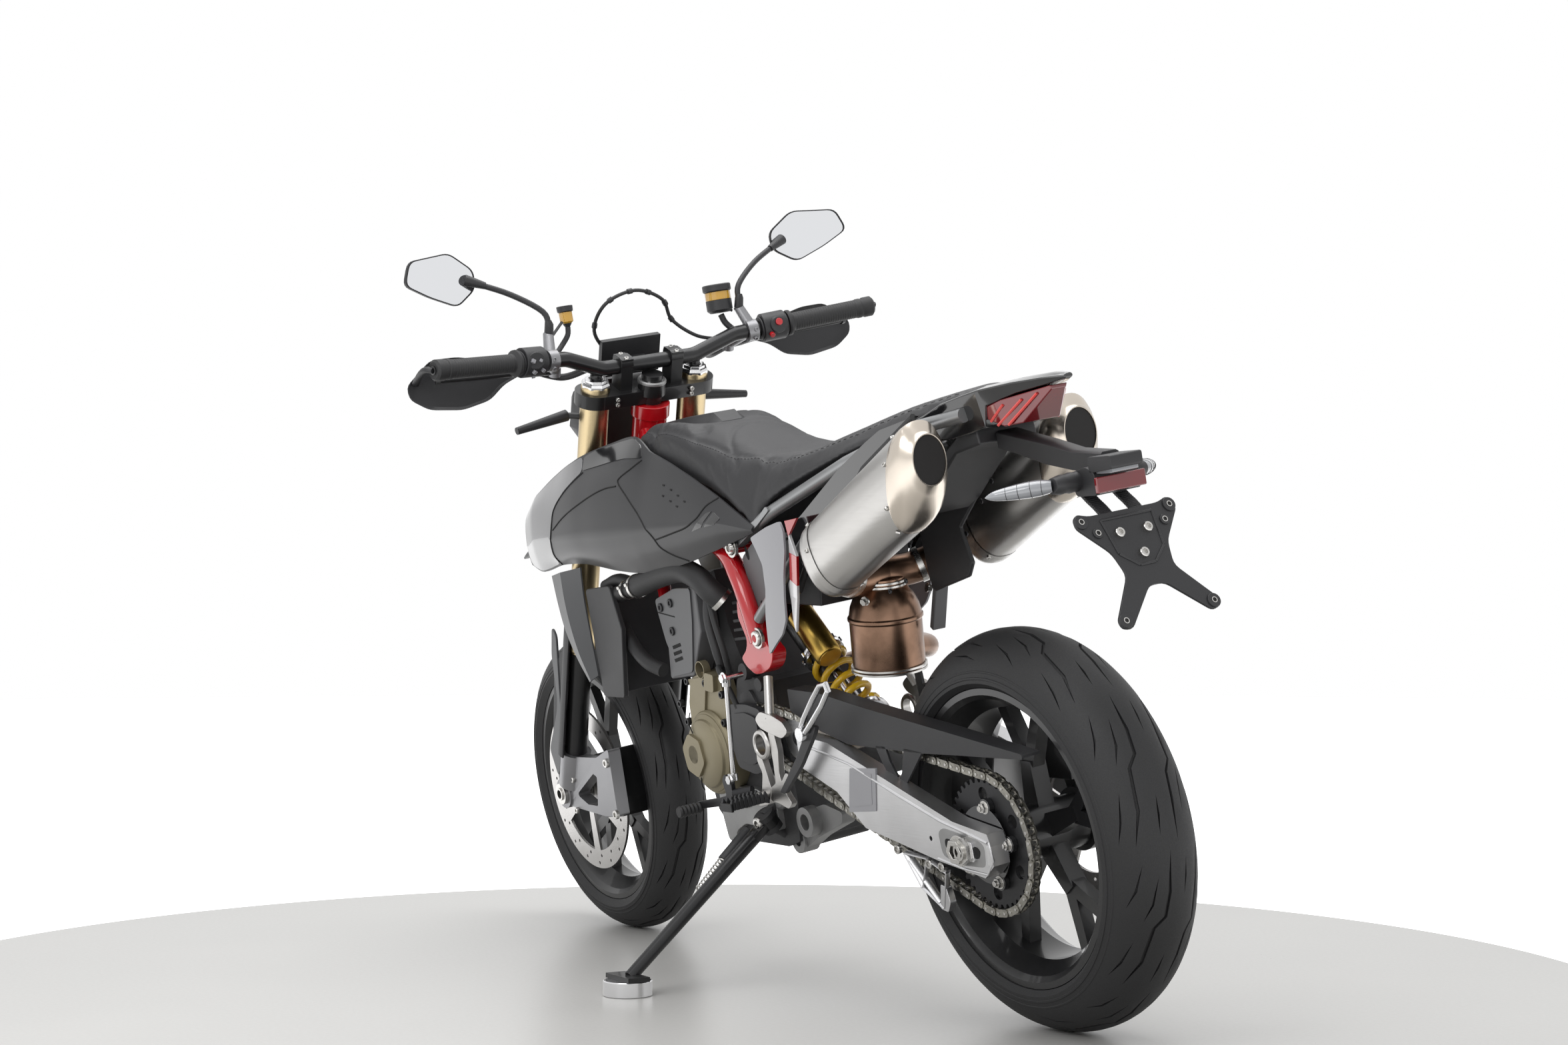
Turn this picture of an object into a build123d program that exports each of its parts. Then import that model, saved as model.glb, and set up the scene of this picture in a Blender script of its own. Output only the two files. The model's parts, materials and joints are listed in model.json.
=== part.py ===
from build123d import *

import math
import os

# Supermoto motorcycle parked on its side stand, millimetres.
# The machine is modelled upright: X forward from the rear axle, Y to its left, Z up from 312 below that axle.
# It is then leaned onto its stand, set on the floor and centred over its origin.

# Stance
WHEELBASE = 1443.0
LEAN = 10.56
RAKE = 26.1
TRAIL = 108.0
CLEAR = 0.3
RUNNING = 0.05

# Tyres and rims
REAR_TYRE_R = 312.0
REAR_CROWN_R = 80.0
FRONT_TYRE_R = 300.0
FRONT_CROWN_R = 60.0
TYRE_WALL = 9.0
BEAD_R = 219.0
FLANGE_R = 231.0
FLANGE_T = 6.0
REAR_RIM_HALF = 63.5
FRONT_RIM_HALF = 44.5
RIM_WELL_R = 201.0
RIM_T = 6.0
SPOKES = 5
AXLE_R = 12.5
AXLE_BORE_R = 9.0
REAR_HUB_R = 42.0
REAR_HUB_HALF = 66.0
FRONT_HUB_R = 34.0
FRONT_HUB_HALF = 52.0

# Brakes and chain drive
FRONT_DISC_R = 165.0
FRONT_DISC_Y = 66.0
REAR_DISC_R = 122.5
REAR_DISC_Y = -82.0
DISC_T = 5.0
CHAIN_Y = 97.0
CHAIN_PITCH_R = 106.2
DRIVE_PITCH_R = 38.2
ROLLER_R = 5.08
LINK_H = 15.0
LINK_T = 3.2
ROLLER_W = 7.6
SPROCKET_T = 5.8
SPROCKET_TEETH = 42

# Steering and fork
FORK_Y = 104.0
FORK_OFFSET = 26.0
UPPER_TUBE_R = 27.0
STANCHION_R = 21.5
BAR_R = 14.0
GRIP_R = 17.0
STEERING_LOCK = 32.0

# Side stand
STAND_FOOT = (642.0, 424.0)
PUCK_R = 41.0
PUCK_H = 26.0
STAND_SWING = 73.0

# Fixed points of the rear half, as (x, z)
REAR_AXLE = (0.0, 312.0)
DRIVE_SHAFT = (645.0, 465.0)
SWING_PIVOT = (549.0, 445.0)

lean_cos = math.cos(math.radians(LEAN))
lean_sin = math.sin(math.radians(LEAN))
rear_ring_r = REAR_TYRE_R - REAR_CROWN_R
front_ring_r = FRONT_TYRE_R - FRONT_CROWN_R
rear_drop = rear_ring_r * lean_cos + REAR_CROWN_R
front_drop = front_ring_r * lean_cos + FRONT_CROWN_R
FRONT_AXLE = (WHEELBASE, REAR_AXLE[1] + (front_drop - rear_drop) / lean_cos)

# From the upright machine to the machine leaning with both tyres on the floor.
leaned = Pos(0, rear_ring_r * lean_sin, rear_drop) * Rot(X=-LEAN) * Pos(0, 0, -REAR_AXLE[1])

rake_cos = math.cos(math.radians(RAKE))
rake_sin = math.sin(math.radians(RAKE))
AXLE_OFFSET = FRONT_TYRE_R * rake_sin - TRAIL * rake_cos

# Steering frame: its Z runs up the steering axis, its X forward and its origin abreast of the front axle.
steer = Location(
    Plane(
        origin=(FRONT_AXLE[0] - AXLE_OFFSET * rake_cos, 0, FRONT_AXLE[1] - AXLE_OFFSET * rake_sin),
        x_dir=(rake_cos, 0, rake_sin),
        z_dir=(-rake_sin, 0, rake_cos),
    )
)

# Places between the swinging-arm pivot and the steering head are given for this length and stretched to the real one.
DRAWN_SPAN = 530.4
HEAD_MIDDLE_U = 755.0
frame_span = FRONT_AXLE[0] - AXLE_OFFSET * rake_cos - HEAD_MIDDLE_U * rake_sin - SWING_PIVOT[0]


def at(x):
    """A place along the frame, stretched with the wheelbase."""
    return SWING_PIVOT[0] + (x - SWING_PIVOT[0]) * frame_span / DRAWN_SPAN


nodes = {}


def add(name, *shapes):
    """Keep the shapes of one node, in the upright machine's frame."""
    solids = []
    for shape in shapes:
        for piece in shape if isinstance(shape, list) else [shape]:
            solids.extend(piece.solids())
    nodes[name] = Compound(solids)


def both(shape):
    """A left-hand piece and its right-hand twin."""
    return shape, mirror(shape, about=Plane.XZ)


def joined(*shapes):
    total = shapes[0]
    for shape in shapes[1:]:
        total = total + shape
    return total


def cyl_y(x, z, y0, y1, radius):
    return Pos(x, (y0 + y1) / 2, z) * Rot(X=90) * Cylinder(radius, abs(y1 - y0))


def ring_y(x, z, y0, y1, outer, inner):
    return cyl_y(x, z, y0, y1, outer) - cyl_y(x, z, y0 - 1, y1 + 1, inner)


def box(x0, x1, y0, y1, z0, z1):
    return Pos((x0 + x1) / 2, (y0 + y1) / 2, (z0 + z1) / 2) * Box(x1 - x0, y1 - y0, z1 - z0)


def rod(start, end, radius, end_radius=None):
    start = Vector(*start)
    span = Vector(*end) - start
    place = Plane(origin=start, z_dir=span)
    low = (Align.CENTER, Align.CENTER, Align.MIN)
    if end_radius is None:
        return place * Cylinder(radius, span.length, align=low)
    return place * Cone(radius, end_radius, span.length, align=low)


def ball(centre, radius):
    return Pos(*centre) * Sphere(radius)


def pipe(points, radius, bend):
    """A round bar or hose along straight runs joined by arcs."""
    path = FilletPolyline(*points, radius=bend)
    return sweep(Plane(origin=path @ 0, z_dir=path % 0) * Circle(radius), path=path)


def plate(points, y0, y1, corner=0.0):
    """A flat plate, its outline in X and Z, between two sideways places."""
    outline = Plane(origin=(0, max(y0, y1), 0), x_dir=(1, 0, 0), z_dir=(0, -1, 0)) * Polygon(*points, align=None)
    if corner:
        outline = fillet(outline.vertices(), corner)
    return extrude(outline, amount=abs(y1 - y0), dir=(0, -1, 0))


def slab(place, points, thick):
    """A flat plate standing out along the normal of a tilted plane."""
    return extrude(place * Polygon(*points, align=None), amount=thick, dir=tuple(place.z_dir))


def stations(sections):
    """A body lofted along X through outlines of (y, z) points."""
    faces = []
    for x, points in sorted(sections):
        faces.append(Plane(origin=(x, 0, 0), x_dir=(0, 1, 0), z_dir=(1, 0, 0)) * Polygon(*points, align=None))
    return loft(faces, ruled=True)


def mirrored_points(points):
    """Close a half outline of (y, z) points over the middle plane."""
    return points + [(-y, z) for y, z in reversed(points) if y > 0]


def wheel_ring(points):
    """A ring about the wheel's axle from (radius, y) points."""
    return revolve(make_face(Polyline(*points, close=True)), axis=Axis.Y)


def at_rear(shape):
    return Pos(REAR_AXLE[0], 0, REAR_AXLE[1]) * shape


def at_front(shape):
    return Pos(FRONT_AXLE[0], 0, FRONT_AXLE[1]) * shape


# ---------------------------------------------------------------- wheels


def tyre(ring_r, crown_r, half):
    def crown(radius, degrees):
        turn = math.radians(degrees)
        return ring_r + radius * math.cos(turn), radius * math.sin(turn)

    inner_r = crown_r - TYRE_WALL
    outer = ThreePointArc(crown(crown_r, -84), crown(crown_r, 0), crown(crown_r, 84))
    inner = ThreePointArc(crown(inner_r, 80), crown(inner_r, 0), crown(inner_r, -80))
    bead = [
        (FLANGE_R + 1.5, half + FLANGE_T + 1),
        (FLANGE_R + 1.0, half - CLEAR),
        (BEAD_R + CLEAR, half - CLEAR),
        (BEAD_R + CLEAR, half - 13),
        (FLANGE_R - 3, half - 9),
    ]
    left = Polyline(crown(crown_r, 84), *bead, crown(inner_r, 80))
    right = Polyline(crown(inner_r, -80), *[(r, -y) for r, y in reversed(bead)], crown(crown_r, -84))
    return revolve(make_face(outer + left + inner + right), axis=Axis.Y)


def rim_barrel(half):
    side = [
        (RIM_WELL_R, half - 34),
        (BEAD_R - 2, half - 15),
        (BEAD_R, half),
        (FLANGE_R, half),
        (FLANGE_R, half + FLANGE_T),
        (BEAD_R + 2, half + FLANGE_T + 1),
        (BEAD_R - RIM_T, half - 2),
        (RIM_WELL_R - RIM_T, half - 32),
    ]
    return wheel_ring(side + [(r, -y) for r, y in reversed(side)])


def spoke(hub_r, width, thick):
    """One forked spoke pointing up: a stem that splits into two arms."""
    reach = RIM_WELL_R - 3
    split = hub_r + 0.42 * (reach - hub_r)
    stem = plate([(-width, 0.7 * hub_r), (width, 0.7 * hub_r), (0.62 * width, split), (-0.62 * width, split)],
                 -thick, thick)
    arm = plate([(-4, split - 6), (0.62 * width, split - 12), (62, reach + 6), (44, reach + 12), (0, split + 16)],
                -0.75 * thick, 0.75 * thick)
    arms = arm + mirror(arm, about=Plane.YZ)
    return stem + (arms & cyl_y(0, 0, -thick, thick, reach))


def rim(half, hub_r, hub_half, spoke_half):
    body = rim_barrel(half) + cyl_y(0, 0, -hub_half, hub_half, hub_r)
    one = spoke(hub_r, 19, spoke_half)
    for turn in range(SPOKES):
        body += Rot(Y=360 * turn / SPOKES) * one
    return body


def brake_disc(radius, y, bobbins, bore, carrier_r):
    """Drilled ring on a spider."""
    half = DISC_T / 2
    ring = ring_y(0, 0, y - half, y + half, radius, carrier_r)
    for turn in range(bobbins * 3):
        angle = 2 * math.pi * turn / (bobbins * 3)
        for step in (0.3, 0.7):
            r = carrier_r + step * (radius - carrier_r)
            shift = angle + step * 0.25
            ring -= cyl_y(r * math.cos(shift), r * math.sin(shift), y - half - 1, y + half + 1, 3.2)
    spider = ring_y(0, 0, y - half, y + half, bore + 16, bore)
    for turn in range(bobbins):
        arm = Rot(Y=360 * turn / bobbins) * plate(
            [(-9, bore + 10), (9, bore + 10), (13, carrier_r + 4), (-13, carrier_r + 4)], y - half, y + half)
        spider += arm
    return ring + spider


carrier_y = CHAIN_Y - SPROCKET_T / 2
rear_rim = rim(REAR_RIM_HALF, REAR_HUB_R, REAR_HUB_HALF, 15)
rear_rim += cyl_y(0, 0, REAR_HUB_HALF - 1, carrier_y, 62)
rear_rim += cyl_y(0, 0, REAR_DISC_Y + DISC_T / 2, -REAR_HUB_HALF + 1, 50)
rear_rim -= cyl_y(0, 0, -200, 200, AXLE_R + RUNNING)
add("rear_rim", at_rear(rear_rim))
add("rear_tyre", at_rear(tyre(rear_ring_r, REAR_CROWN_R, REAR_RIM_HALF)))
add("rear_disc", at_rear(brake_disc(REAR_DISC_R, REAR_DISC_Y, 5, 30, 88)))

tooth_tip = CHAIN_PITCH_R - ROLLER_R - 0.5
tooth_root = tooth_tip - 7
sprocket_half = SPROCKET_T / 2
sprocket_points = []
for tooth in range(SPROCKET_TEETH):
    for part, radius in ((0.0, tooth_root), (0.3, tooth_root), (0.5, tooth_tip), (0.8, tooth_tip)):
        angle = 2 * math.pi * (tooth + part) / SPROCKET_TEETH
        sprocket_points.append((radius * math.cos(angle), radius * math.sin(angle)))
sprocket = plate(sprocket_points, CHAIN_Y - sprocket_half, CHAIN_Y + sprocket_half)
sprocket -= cyl_y(0, 0, 0, 200, 32)
for turn in range(6):
    angle = math.radians(60 * turn + 30)
    sprocket -= cyl_y(76 * math.cos(angle), 76 * math.sin(angle), 0, 200, 11)
for turn in range(6):
    angle = math.radians(60 * turn)
    sprocket += cyl_y(48 * math.cos(angle), 48 * math.sin(angle), CHAIN_Y, CHAIN_Y + sprocket_half + 6, 7)
add("rear_sprocket", at_rear(sprocket))

front_rim = rim(FRONT_RIM_HALF, FRONT_HUB_R, FRONT_HUB_HALF, 13)
front_rim += cyl_y(0, 0, FRONT_HUB_HALF - 1, FRONT_DISC_Y - DISC_T / 2, 46)
front_rim -= cyl_y(0, 0, -200, 200, AXLE_R + RUNNING)
add("front_rim", at_front(front_rim))
add("front_tyre", at_front(tyre(front_ring_r, FRONT_CROWN_R, FRONT_RIM_HALF)))
add("front_disc", at_front(brake_disc(FRONT_DISC_R, FRONT_DISC_Y, 6, 30, 128)))

# ---------------------------------------------------------------- rear end

ARM_IN = 112.0
ARM_OUT = 142.0
axle_left = ARM_OUT + 18
axle_right = -ARM_OUT - 12
axle = cyl_y(0, REAR_AXLE[1], axle_right, axle_left, AXLE_R)
axle += cyl_y(0, REAR_AXLE[1], CHAIN_Y + sprocket_half + CLEAR, ARM_IN - CLEAR, 22)
axle += cyl_y(0, REAR_AXLE[1], -ARM_IN + CLEAR, REAR_DISC_Y - DISC_T / 2 - CLEAR, 22)
axle += extrude(Plane(origin=(0, ARM_OUT + CLEAR, REAR_AXLE[1]), z_dir=(0, 1, 0)) * RegularPolygon(20, 6), amount=14, dir=(0, 1, 0))
axle += cyl_y(0, REAR_AXLE[1], -ARM_OUT - 10, -ARM_OUT - CLEAR, 19)
axle -= cyl_y(0, REAR_AXLE[1], axle_right - 1, axle_left + 1, AXLE_BORE_R)
add("rear_axle", axle)

arm_outline = [
    (-56, 340), (-62, 322), (-62, 292), (-36, 272), (84, 288), (281, 324), (352, 378), (452, 412),
    (SWING_PIVOT[0] + 20, SWING_PIVOT[1] - 32), (SWING_PIVOT[0] + 28, SWING_PIVOT[1] + 30), (420, 464), (360, 458),
    (31, 353),
]
left_arm = plate(arm_outline, ARM_IN, ARM_OUT)
left_arm = left_arm & box(-100, 455, 0, 200, 200, 600)
nose = plate([(330, 372), (452, 412), (SWING_PIVOT[0] + 4, SWING_PIVOT[1] - 36), (SWING_PIVOT[0] + 4, SWING_PIVOT[1] + 32),
              (455, 448), (350, 442)], 58, ARM_IN - 26)
left_arm += nose
left_arm += box(330, 430, 60, ARM_IN + 4, 385, 442)
arms = left_arm + mirror(left_arm, about=Plane.XZ)
arms += box(352, 440, -86, 86, 385, 440)
arms += cyl_y(*SWING_PIVOT, -88, 88, 36)
arms -= cyl_y(*SWING_PIVOT, -100, 100, 12 + RUNNING)
arms -= cyl_y(0, REAR_AXLE[1], -200, 200, AXLE_R + RUNNING)
SPOOL_R = 4.0
spool_x = 96
spool_z = 322
for side in (-1, 1):
    arms -= cyl_y(spool_x, spool_z, side * (ARM_OUT - 22), side * (ARM_OUT + 1), SPOOL_R)
add("swingarm", arms)


def chain_loop(offset, y0, y1):
    """Band round both sprockets, grown or shrunk from the pitch line."""
    x1, z1 = DRIVE_SHAFT
    x0, z0 = REAR_AXLE
    big = CHAIN_PITCH_R + offset
    small = DRIVE_PITCH_R + offset
    span = math.hypot(x1 - x0, z1 - z0)
    lie = math.atan2(z1 - z0, x1 - x0)
    lap = math.asin((big - small) / span)
    top = lie + math.pi / 2 - lap
    low = lie - math.pi / 2 + lap

    def around(centre, radius, angle):
        return centre[0] + radius * math.cos(angle), centre[1] + radius * math.sin(angle)

    rear_top, rear_low = around((x0, z0), big, top), around((x0, z0), big, low)
    front_top, front_low = around((x1, z1), small, top), around((x1, z1), small, low)
    rear_far, front_far = around((x0, z0), big, lie + math.pi), around((x1, z1), small, lie)
    edges = (Line(rear_top, front_top) + ThreePointArc(front_top, front_far, front_low)
             + Line(front_low, rear_low) + ThreePointArc(rear_low, rear_far, rear_top))
    face = Plane(origin=(0, y1, 0), x_dir=(1, 0, 0), z_dir=(0, -1, 0)) * make_face(edges)
    return extrude(face, amount=y1 - y0, dir=(0, -1, 0))


def chain_band(half_height, y0, y1):
    return chain_loop(half_height, y0, y1) - chain_loop(-half_height, y0 - 1, y1 + 1)


roller_half = ROLLER_W / 2
chain = chain_band(ROLLER_R, CHAIN_Y - roller_half, CHAIN_Y + roller_half)
chain += chain_band(LINK_H / 2, CHAIN_Y + roller_half, CHAIN_Y + roller_half + LINK_T)
chain += chain_band(LINK_H / 2, CHAIN_Y - roller_half - LINK_T, CHAIN_Y - roller_half)
add("chain", chain)

chain_out = CHAIN_Y + roller_half + LINK_T
guard = plate([(498, 538), (400, 534), (273, 515), (60, 487), (-142, 456), (-142, 450), (60, 450), (120, 432),
               (205, 382), (240, 388), (250, 430), (410, 482), (498, 508)], chain_out + 0.4, chain_out + 3.4)
guard += plate([(498, 538), (400, 534), (273, 515), (60, 487), (-142, 456), (-142, 452), (60, 482), (273, 510),
                (400, 529), (498, 533)], 84, chain_out + 1)
sprocket_cover = plate([(590, 400), (640, 385), (700, 395), (714, 450), (704, 506), (640, 508), (594, 500)],
                       chain_out + 1, chain_out + 13, 12)
sprocket_cover += cyl_y(706, 452, 84, chain_out + 2, 6)
add("chain_guards", guard, sprocket_cover)

rear_caliper = box(-6, 66, REAR_DISC_Y - 22, REAR_DISC_Y + 20, REAR_AXLE[1] + 62, REAR_AXLE[1] + 132)
rear_caliper -= box(-20, 80, REAR_DISC_Y - 4, REAR_DISC_Y + 4, 0, REAR_AXLE[1] + REAR_DISC_R + 4)
caliper_arm = plate([(-34, REAR_AXLE[1] - 30), (34, REAR_AXLE[1] - 30), (62, REAR_AXLE[1] + 68), (0, REAR_AXLE[1] + 72)],
                    REAR_DISC_Y - 20, REAR_DISC_Y - 12, 3)
caliper_arm -= cyl_y(0, REAR_AXLE[1], -200, 0, 22 + RUNNING)
add("rear_caliper", rear_caliper + caliper_arm)

# ---------------------------------------------------------------- engine and frame

crankcase = plate([(585, 330), (600, 262), (640, 250), (820, 250), (872, 300), (895, 400), (880, 490), (700, 540),
                   (620, 540), (600, 500), (585, 420)], -84, 84)
barrel = plate([(690, 530), (880, 486), (915, 560), (945, 690), (760, 735), (740, 640)], -78, 78)
engine = crankcase + barrel
for lug_x, lug_z in ((632, 262), (817, 262)):
    engine += cyl_y(lug_x, lug_z, -70, 70, 20)
engine += cyl_y(*DRIVE_SHAFT, 80, CHAIN_Y + 6, 12)
engine += cyl_y(*DRIVE_SHAFT, CHAIN_Y - sprocket_half, CHAIN_Y + sprocket_half, DRIVE_PITCH_R - ROLLER_R - CLEAR)
engine -= cyl_y(*SWING_PIVOT, -90, 90, 40)
add("engine_block", engine)

cover_left = cyl_y(800, 415, 84, 122, 76)
cover_left += cyl_y(800, 415, 84, 132, 60)
cover_left += plate([(735, 440), (868, 450), (862, 500), (800, 548), (742, 552), (724, 480)], 84, 112)
cover_left += plate([(832, 452), (866, 425), (858, 385), (822, 372), (792, 400), (800, 440)], 120, 137, 6)
cover_right = cyl_y(690, 400, -128, -84, 86)
cover_right += cyl_y(690, 400, -136, -84, 66)
cover_right += cyl_y(815, 415, -112, -84, 58)
add("engine_covers", cover_left, cover_right)
cylinder_cover = plate([(913, 690), (766, 716), (770, 631), (821, 552), (912, 544), (901, 611)], 78, 118, 6)
add("cylinder_covers", *both(cylinder_cover))

head_tube = steer * Pos(0, 0, 680) * Cylinder(30, 150, align=(Align.CENTER, Align.CENTER, Align.MIN))
HEAD_BORE_R = 20.0
head_tube -= steer * Pos(0, 0, 600) * Cylinder(HEAD_BORE_R, 320, align=(Align.CENTER, Align.CENTER, Align.MIN))


def head_point(y, up, back=0):
    """A point beside the steering head."""
    place = steer * Pos(-back, y, up)
    return tuple(place.position)


TUBE_R = 16.0
spar_points = [head_point(18, 790, 24), (at(905), 92, 892), (at(820), 104, 842), (at(655), 112, 776), (594, 122, 724), (560, 124, 650),
               (546, 118, 588)]
spar = pipe(spar_points, TUBE_R, 30)
strut = pipe([head_point(18, 700, 24), (at(975), 70, 760), (at(925), 92, 640)], 13, 40)
brace = rod((at(880), 98, 874), (at(960), 76, 742), 10)
foot = plate([(508, 566), (570, 600), (622, 540), (612, 512), (560, 520), (520, 540)], 88, 126, 6)
frame_side = joined(spar, strut, brace, foot)
frame = frame_side + mirror(frame_side, about=Plane.XZ) + head_tube
frame += rod((655, -110, 776), (655, 110, 776), 12)
for side in (-1, 1):
    frame += plate([(626, 790), (676, 786), (668, 640), (630, 632)], side * 18, side * 26, 6)
frame -= steer * Pos(0, 0, 600) * Cylinder(HEAD_BORE_R, 320, align=(Align.CENTER, Align.CENTER, Align.MIN))
frame -= engine
add("main_frame", frame)

SUB_R = 11.0
rail_points = [(650, 112, 776), (470, 108, 836), (234, 100, 903), (60, 84, 944), (-60, 70, 955)]
rail = pipe(rail_points, SUB_R, 60)
stay = rod((559, 123, 650), (222, 98, 900), 10)
subframe_side = rail + stay
subframe = subframe_side + mirror(subframe_side, about=Plane.XZ)
subframe += rod((234, -98, 903), (234, 98, 903), 9)
subframe += rod((-40, -66, 953), (-40, 66, 953), 9)
subframe = (subframe - frame).solids().sort_by(SortBy.VOLUME)[-1]
add("subframe", subframe)

# ---------------------------------------------------------------- shock

shock_top = Vector(640, 0, 648)
shock_low = Vector(438, 0, 452)
shock_axis = (shock_low - shock_top).normalized()
shock_len = (shock_low - shock_top).length


def along_shock(distance):
    spot = shock_top + shock_axis * distance
    return spot.X, spot.Y, spot.Z


shock = rod(along_shock(28), along_shock(95), 30) + rod(along_shock(0), along_shock(30), 14)
shock += rod(along_shock(95), along_shock(112), 36)
shock += rod(along_shock(100), along_shock(shock_len - 20), 22)
shock += rod(along_shock(shock_len - 34), along_shock(shock_len - 18), 36)
shock += cyl_y(shock_top.X, shock_top.Z, -18 + CLEAR, 18 - CLEAR, 17)
shock += cyl_y(shock_low.X, shock_low.Z + 8, -16, 16, 14)
reservoir_shift = Vector(-52, 34, 26)
shock += rod(Vector(*along_shock(40)) + reservoir_shift, Vector(*along_shock(138)) + reservoir_shift, 24)
shock += rod(along_shock(56), Vector(*along_shock(50)) + reservoir_shift, 14)
add("shock_absorber", shock)

SPRING_R = 33.0
WIRE_R = 5.5
SPRING_TURNS = 4
spring_from = 112 + WIRE_R + CLEAR
spring_to = shock_len - 34 - WIRE_R - CLEAR
helix = Helix(pitch=(spring_to - spring_from) / SPRING_TURNS, height=spring_to - spring_from, radius=SPRING_R)
coil = sweep(Plane(origin=helix @ 0, z_dir=helix % 0) * Circle(WIRE_R), path=helix)
add("shock_spring", Plane(origin=along_shock(spring_from), z_dir=shock_axis) * coil)

# ---------------------------------------------------------------- cooling, airbox, tank

radiator = plate([(at(1128), 706), (at(1066), 706), (at(1056), 520), (at(1122), 520)], -142, 142)
hose = pipe([(at(1110), 118, 716), (at(1040), 122, 728), (at(945), 124, 716), (at(900), 122, 740), (at(800), 112, 770)],
            17, 24)
radiator_left = plate([(at(1130), 716), (at(1030), 722), (at(1006), 640), (at(1040), 512), (at(1124), 512)], 143, 153, 8)
add("radiator", radiator, *both(radiator_left))
add("coolant_hoses", hose - radiator)

airbox = plate([(440, 806), (606, 764), (590, 700), (520, 676), (400, 672), (376, 770)], -88, 88)
add("airbox", airbox - frame - subframe)

TANK_HALF = 74.0
tank = stations([
    (560, mirrored_points([(TANK_HALF, 800), (TANK_HALF, 846)])),
    (at(700), mirrored_points([(TANK_HALF, 775), (TANK_HALF, 892)])),
    (at(880), mirrored_points([(TANK_HALF - 14, 765), (TANK_HALF - 14, 935)])),
])
cap_cover = stations([
    (at(746), mirrored_points([(44, 975), (20, 990)])),
    (at(772), mirrored_points([(50, 975), (22, 1008)])),
    (at(960), mirrored_points([(56, 960), (26, 1000)])),
])
tank += cap_cover
tank += box(at(770), at(870), -38, 38, 880, 990)
add("fuel_tank", tank - frame)

# ---------------------------------------------------------------- body panels

SKIN = 4.0
shroud_sections = [
    (1344, [(143, 868), (153, 850), (157, 806), (153, 766)]),
    (1290, [(147, 898), (162, 868), (169, 812), (156, 752)]),
    (1200, [(149, 930), (168, 880), (178, 814), (156, 763)]),
    (1100, [(151, 956), (172, 892), (184, 818), (158, 764)]),
    (1040, [(142, 970), (169, 904), (184, 820), (156, 757)]),
    (980, [(127, 980), (163, 912), (183, 820), (154, 749)]),
    (900, [(117, 986), (155, 914), (178, 822), (150, 744)]),
    (840, [(123, 956), (151, 898), (173, 825), (147, 746)]),
    (740, [(128, 923), (145, 878), (163, 826), (144, 756)]),
    (620, [(127, 870), (135, 852), (148, 827), (137, 779)]),
    (518, [(123, 814), (125, 811), (128, 808), (125, 803)]),
]


def inward(points):
    return [(y - SKIN, z) for y, z in reversed(points)]


shroud = stations([(at(x), points + inward(points)) for x, points in shroud_sections])
seam = plate([(at(857), 1100), (at(857), 944), (at(911), 914), (at(887), 887), (at(798), 811), (at(768), 776),
              (at(700), 745), (at(640), 700), (300, 700), (300, 1100)], 60, 260)
knee_panel = shroud & seam
front_shroud = shroud - Pos(1.2, 0, 0) * seam
wing = plate([(at(1251), 744), (at(1134), 758), (at(1150), 700), (at(1136), 556), (at(1156), 541), (at(1226), 668)],
             158, 163)
shroud_tab = box(at(1118), at(1145), 153.3, 158, 600, 700)
front_tab = box(at(1044), at(1066), 153.3, 160, 690, 772)
knee_tab = rod((at(700), 108, 796), (at(700), 150, 806), 8) - frame
front_shroud = (front_shroud + front_tab) - frame - subframe
knee_panel = (knee_panel + knee_tab) - frame - subframe
add("tank_shrouds", *both(front_shroud), *both(knee_panel), *both(wing + shroud_tab))

seat_sections = [
    (944, [(98, 962), (98, 976), (72, 984)]),
    (900, [(112, 952), (108, 980), (72, 994)]),
    (840, [(116, 930), (108, 974), (64, 998)]),
    (768, [(118, 912), (102, 970), (58, 996)]),
    (700, [(119, 892), (102, 950), (58, 978)]),
    (620, [(119, 862), (101, 932), (60, 950)]),
    (545, [(118, 826), (99, 918), (60, 928)]),
    (490, [(117, 838), (96, 914), (60, 921)]),
    (400, [(114, 878), (94, 916), (58, 921)]),
    (250, [(106, 920), (88, 940), (54, 946)]),
    (100, [(92, 948), (78, 967), (48, 972)]),
    (-70, [(70, 975), (60, 988), (38, 991)]),
]
seat = stations([(at(x), mirrored_points(points)) for x, points in seat_sections])
seat -= box(at(700), at(990), -62, 62, 900, 1100)
seat -= stations([(x, mirrored_points([(TANK_HALF + 2, 700), (TANK_HALF + 2, z)])) for x, z in
                  ((400, 872), (560, 862), (at(700), 906), (at(990), 966))])
add("seat", seat - frame - subframe)

tail = stations([
    (80, mirrored_points([(80, 925), (88, 950), (60, 952)])),
    (-8, mirrored_points([(72, 918), (78, 977), (48, 980)])),
    (-88, mirrored_points([(54, 930), (65, 989), (40, 993)])),
    (-94, mirrored_points([(52, 965), (63, 990), (38, 993)])),
    (-150, mirrored_points([(38, 976), (44, 994), (24, 998)])),
    (-205, mirrored_points([(20, 982), (25, 995), (12, 998)])),
    (-234, mirrored_points([(6, 988), (9, 993), (4, 995)])),
])
tail -= seat
undertail = plate([(-62, 930), (-66, 908), (0, 897), (40, 868), (104, 822), (165, 774), (158, 750), (146, 716),
                   (162, 694), (262, 672), (270, 674), (276, 700), (284, 784), (300, 788), (306, 860), (296, 860),
                   (290, 806), (240, 806), (130, 842), (60, 884), (-10, 924), (-50, 936)], -54, 54)
tail_body = (tail - subframe) + (undertail - subframe - tail)
add("tail_unit", tail_body)

lamp = stations([
    (-90, mirrored_points([(50, 943), (51, 962)])),
    (-124, mirrored_points([(46, 930), (47, 970)])),
    (-154, mirrored_points([(34, 932), (36, 974)])),
    (-206, mirrored_points([(13, 975), (17, 981)])),
])
reflector = box(-318, -310, -45, 45, 822, 847)
lamp -= tail_body

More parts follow.
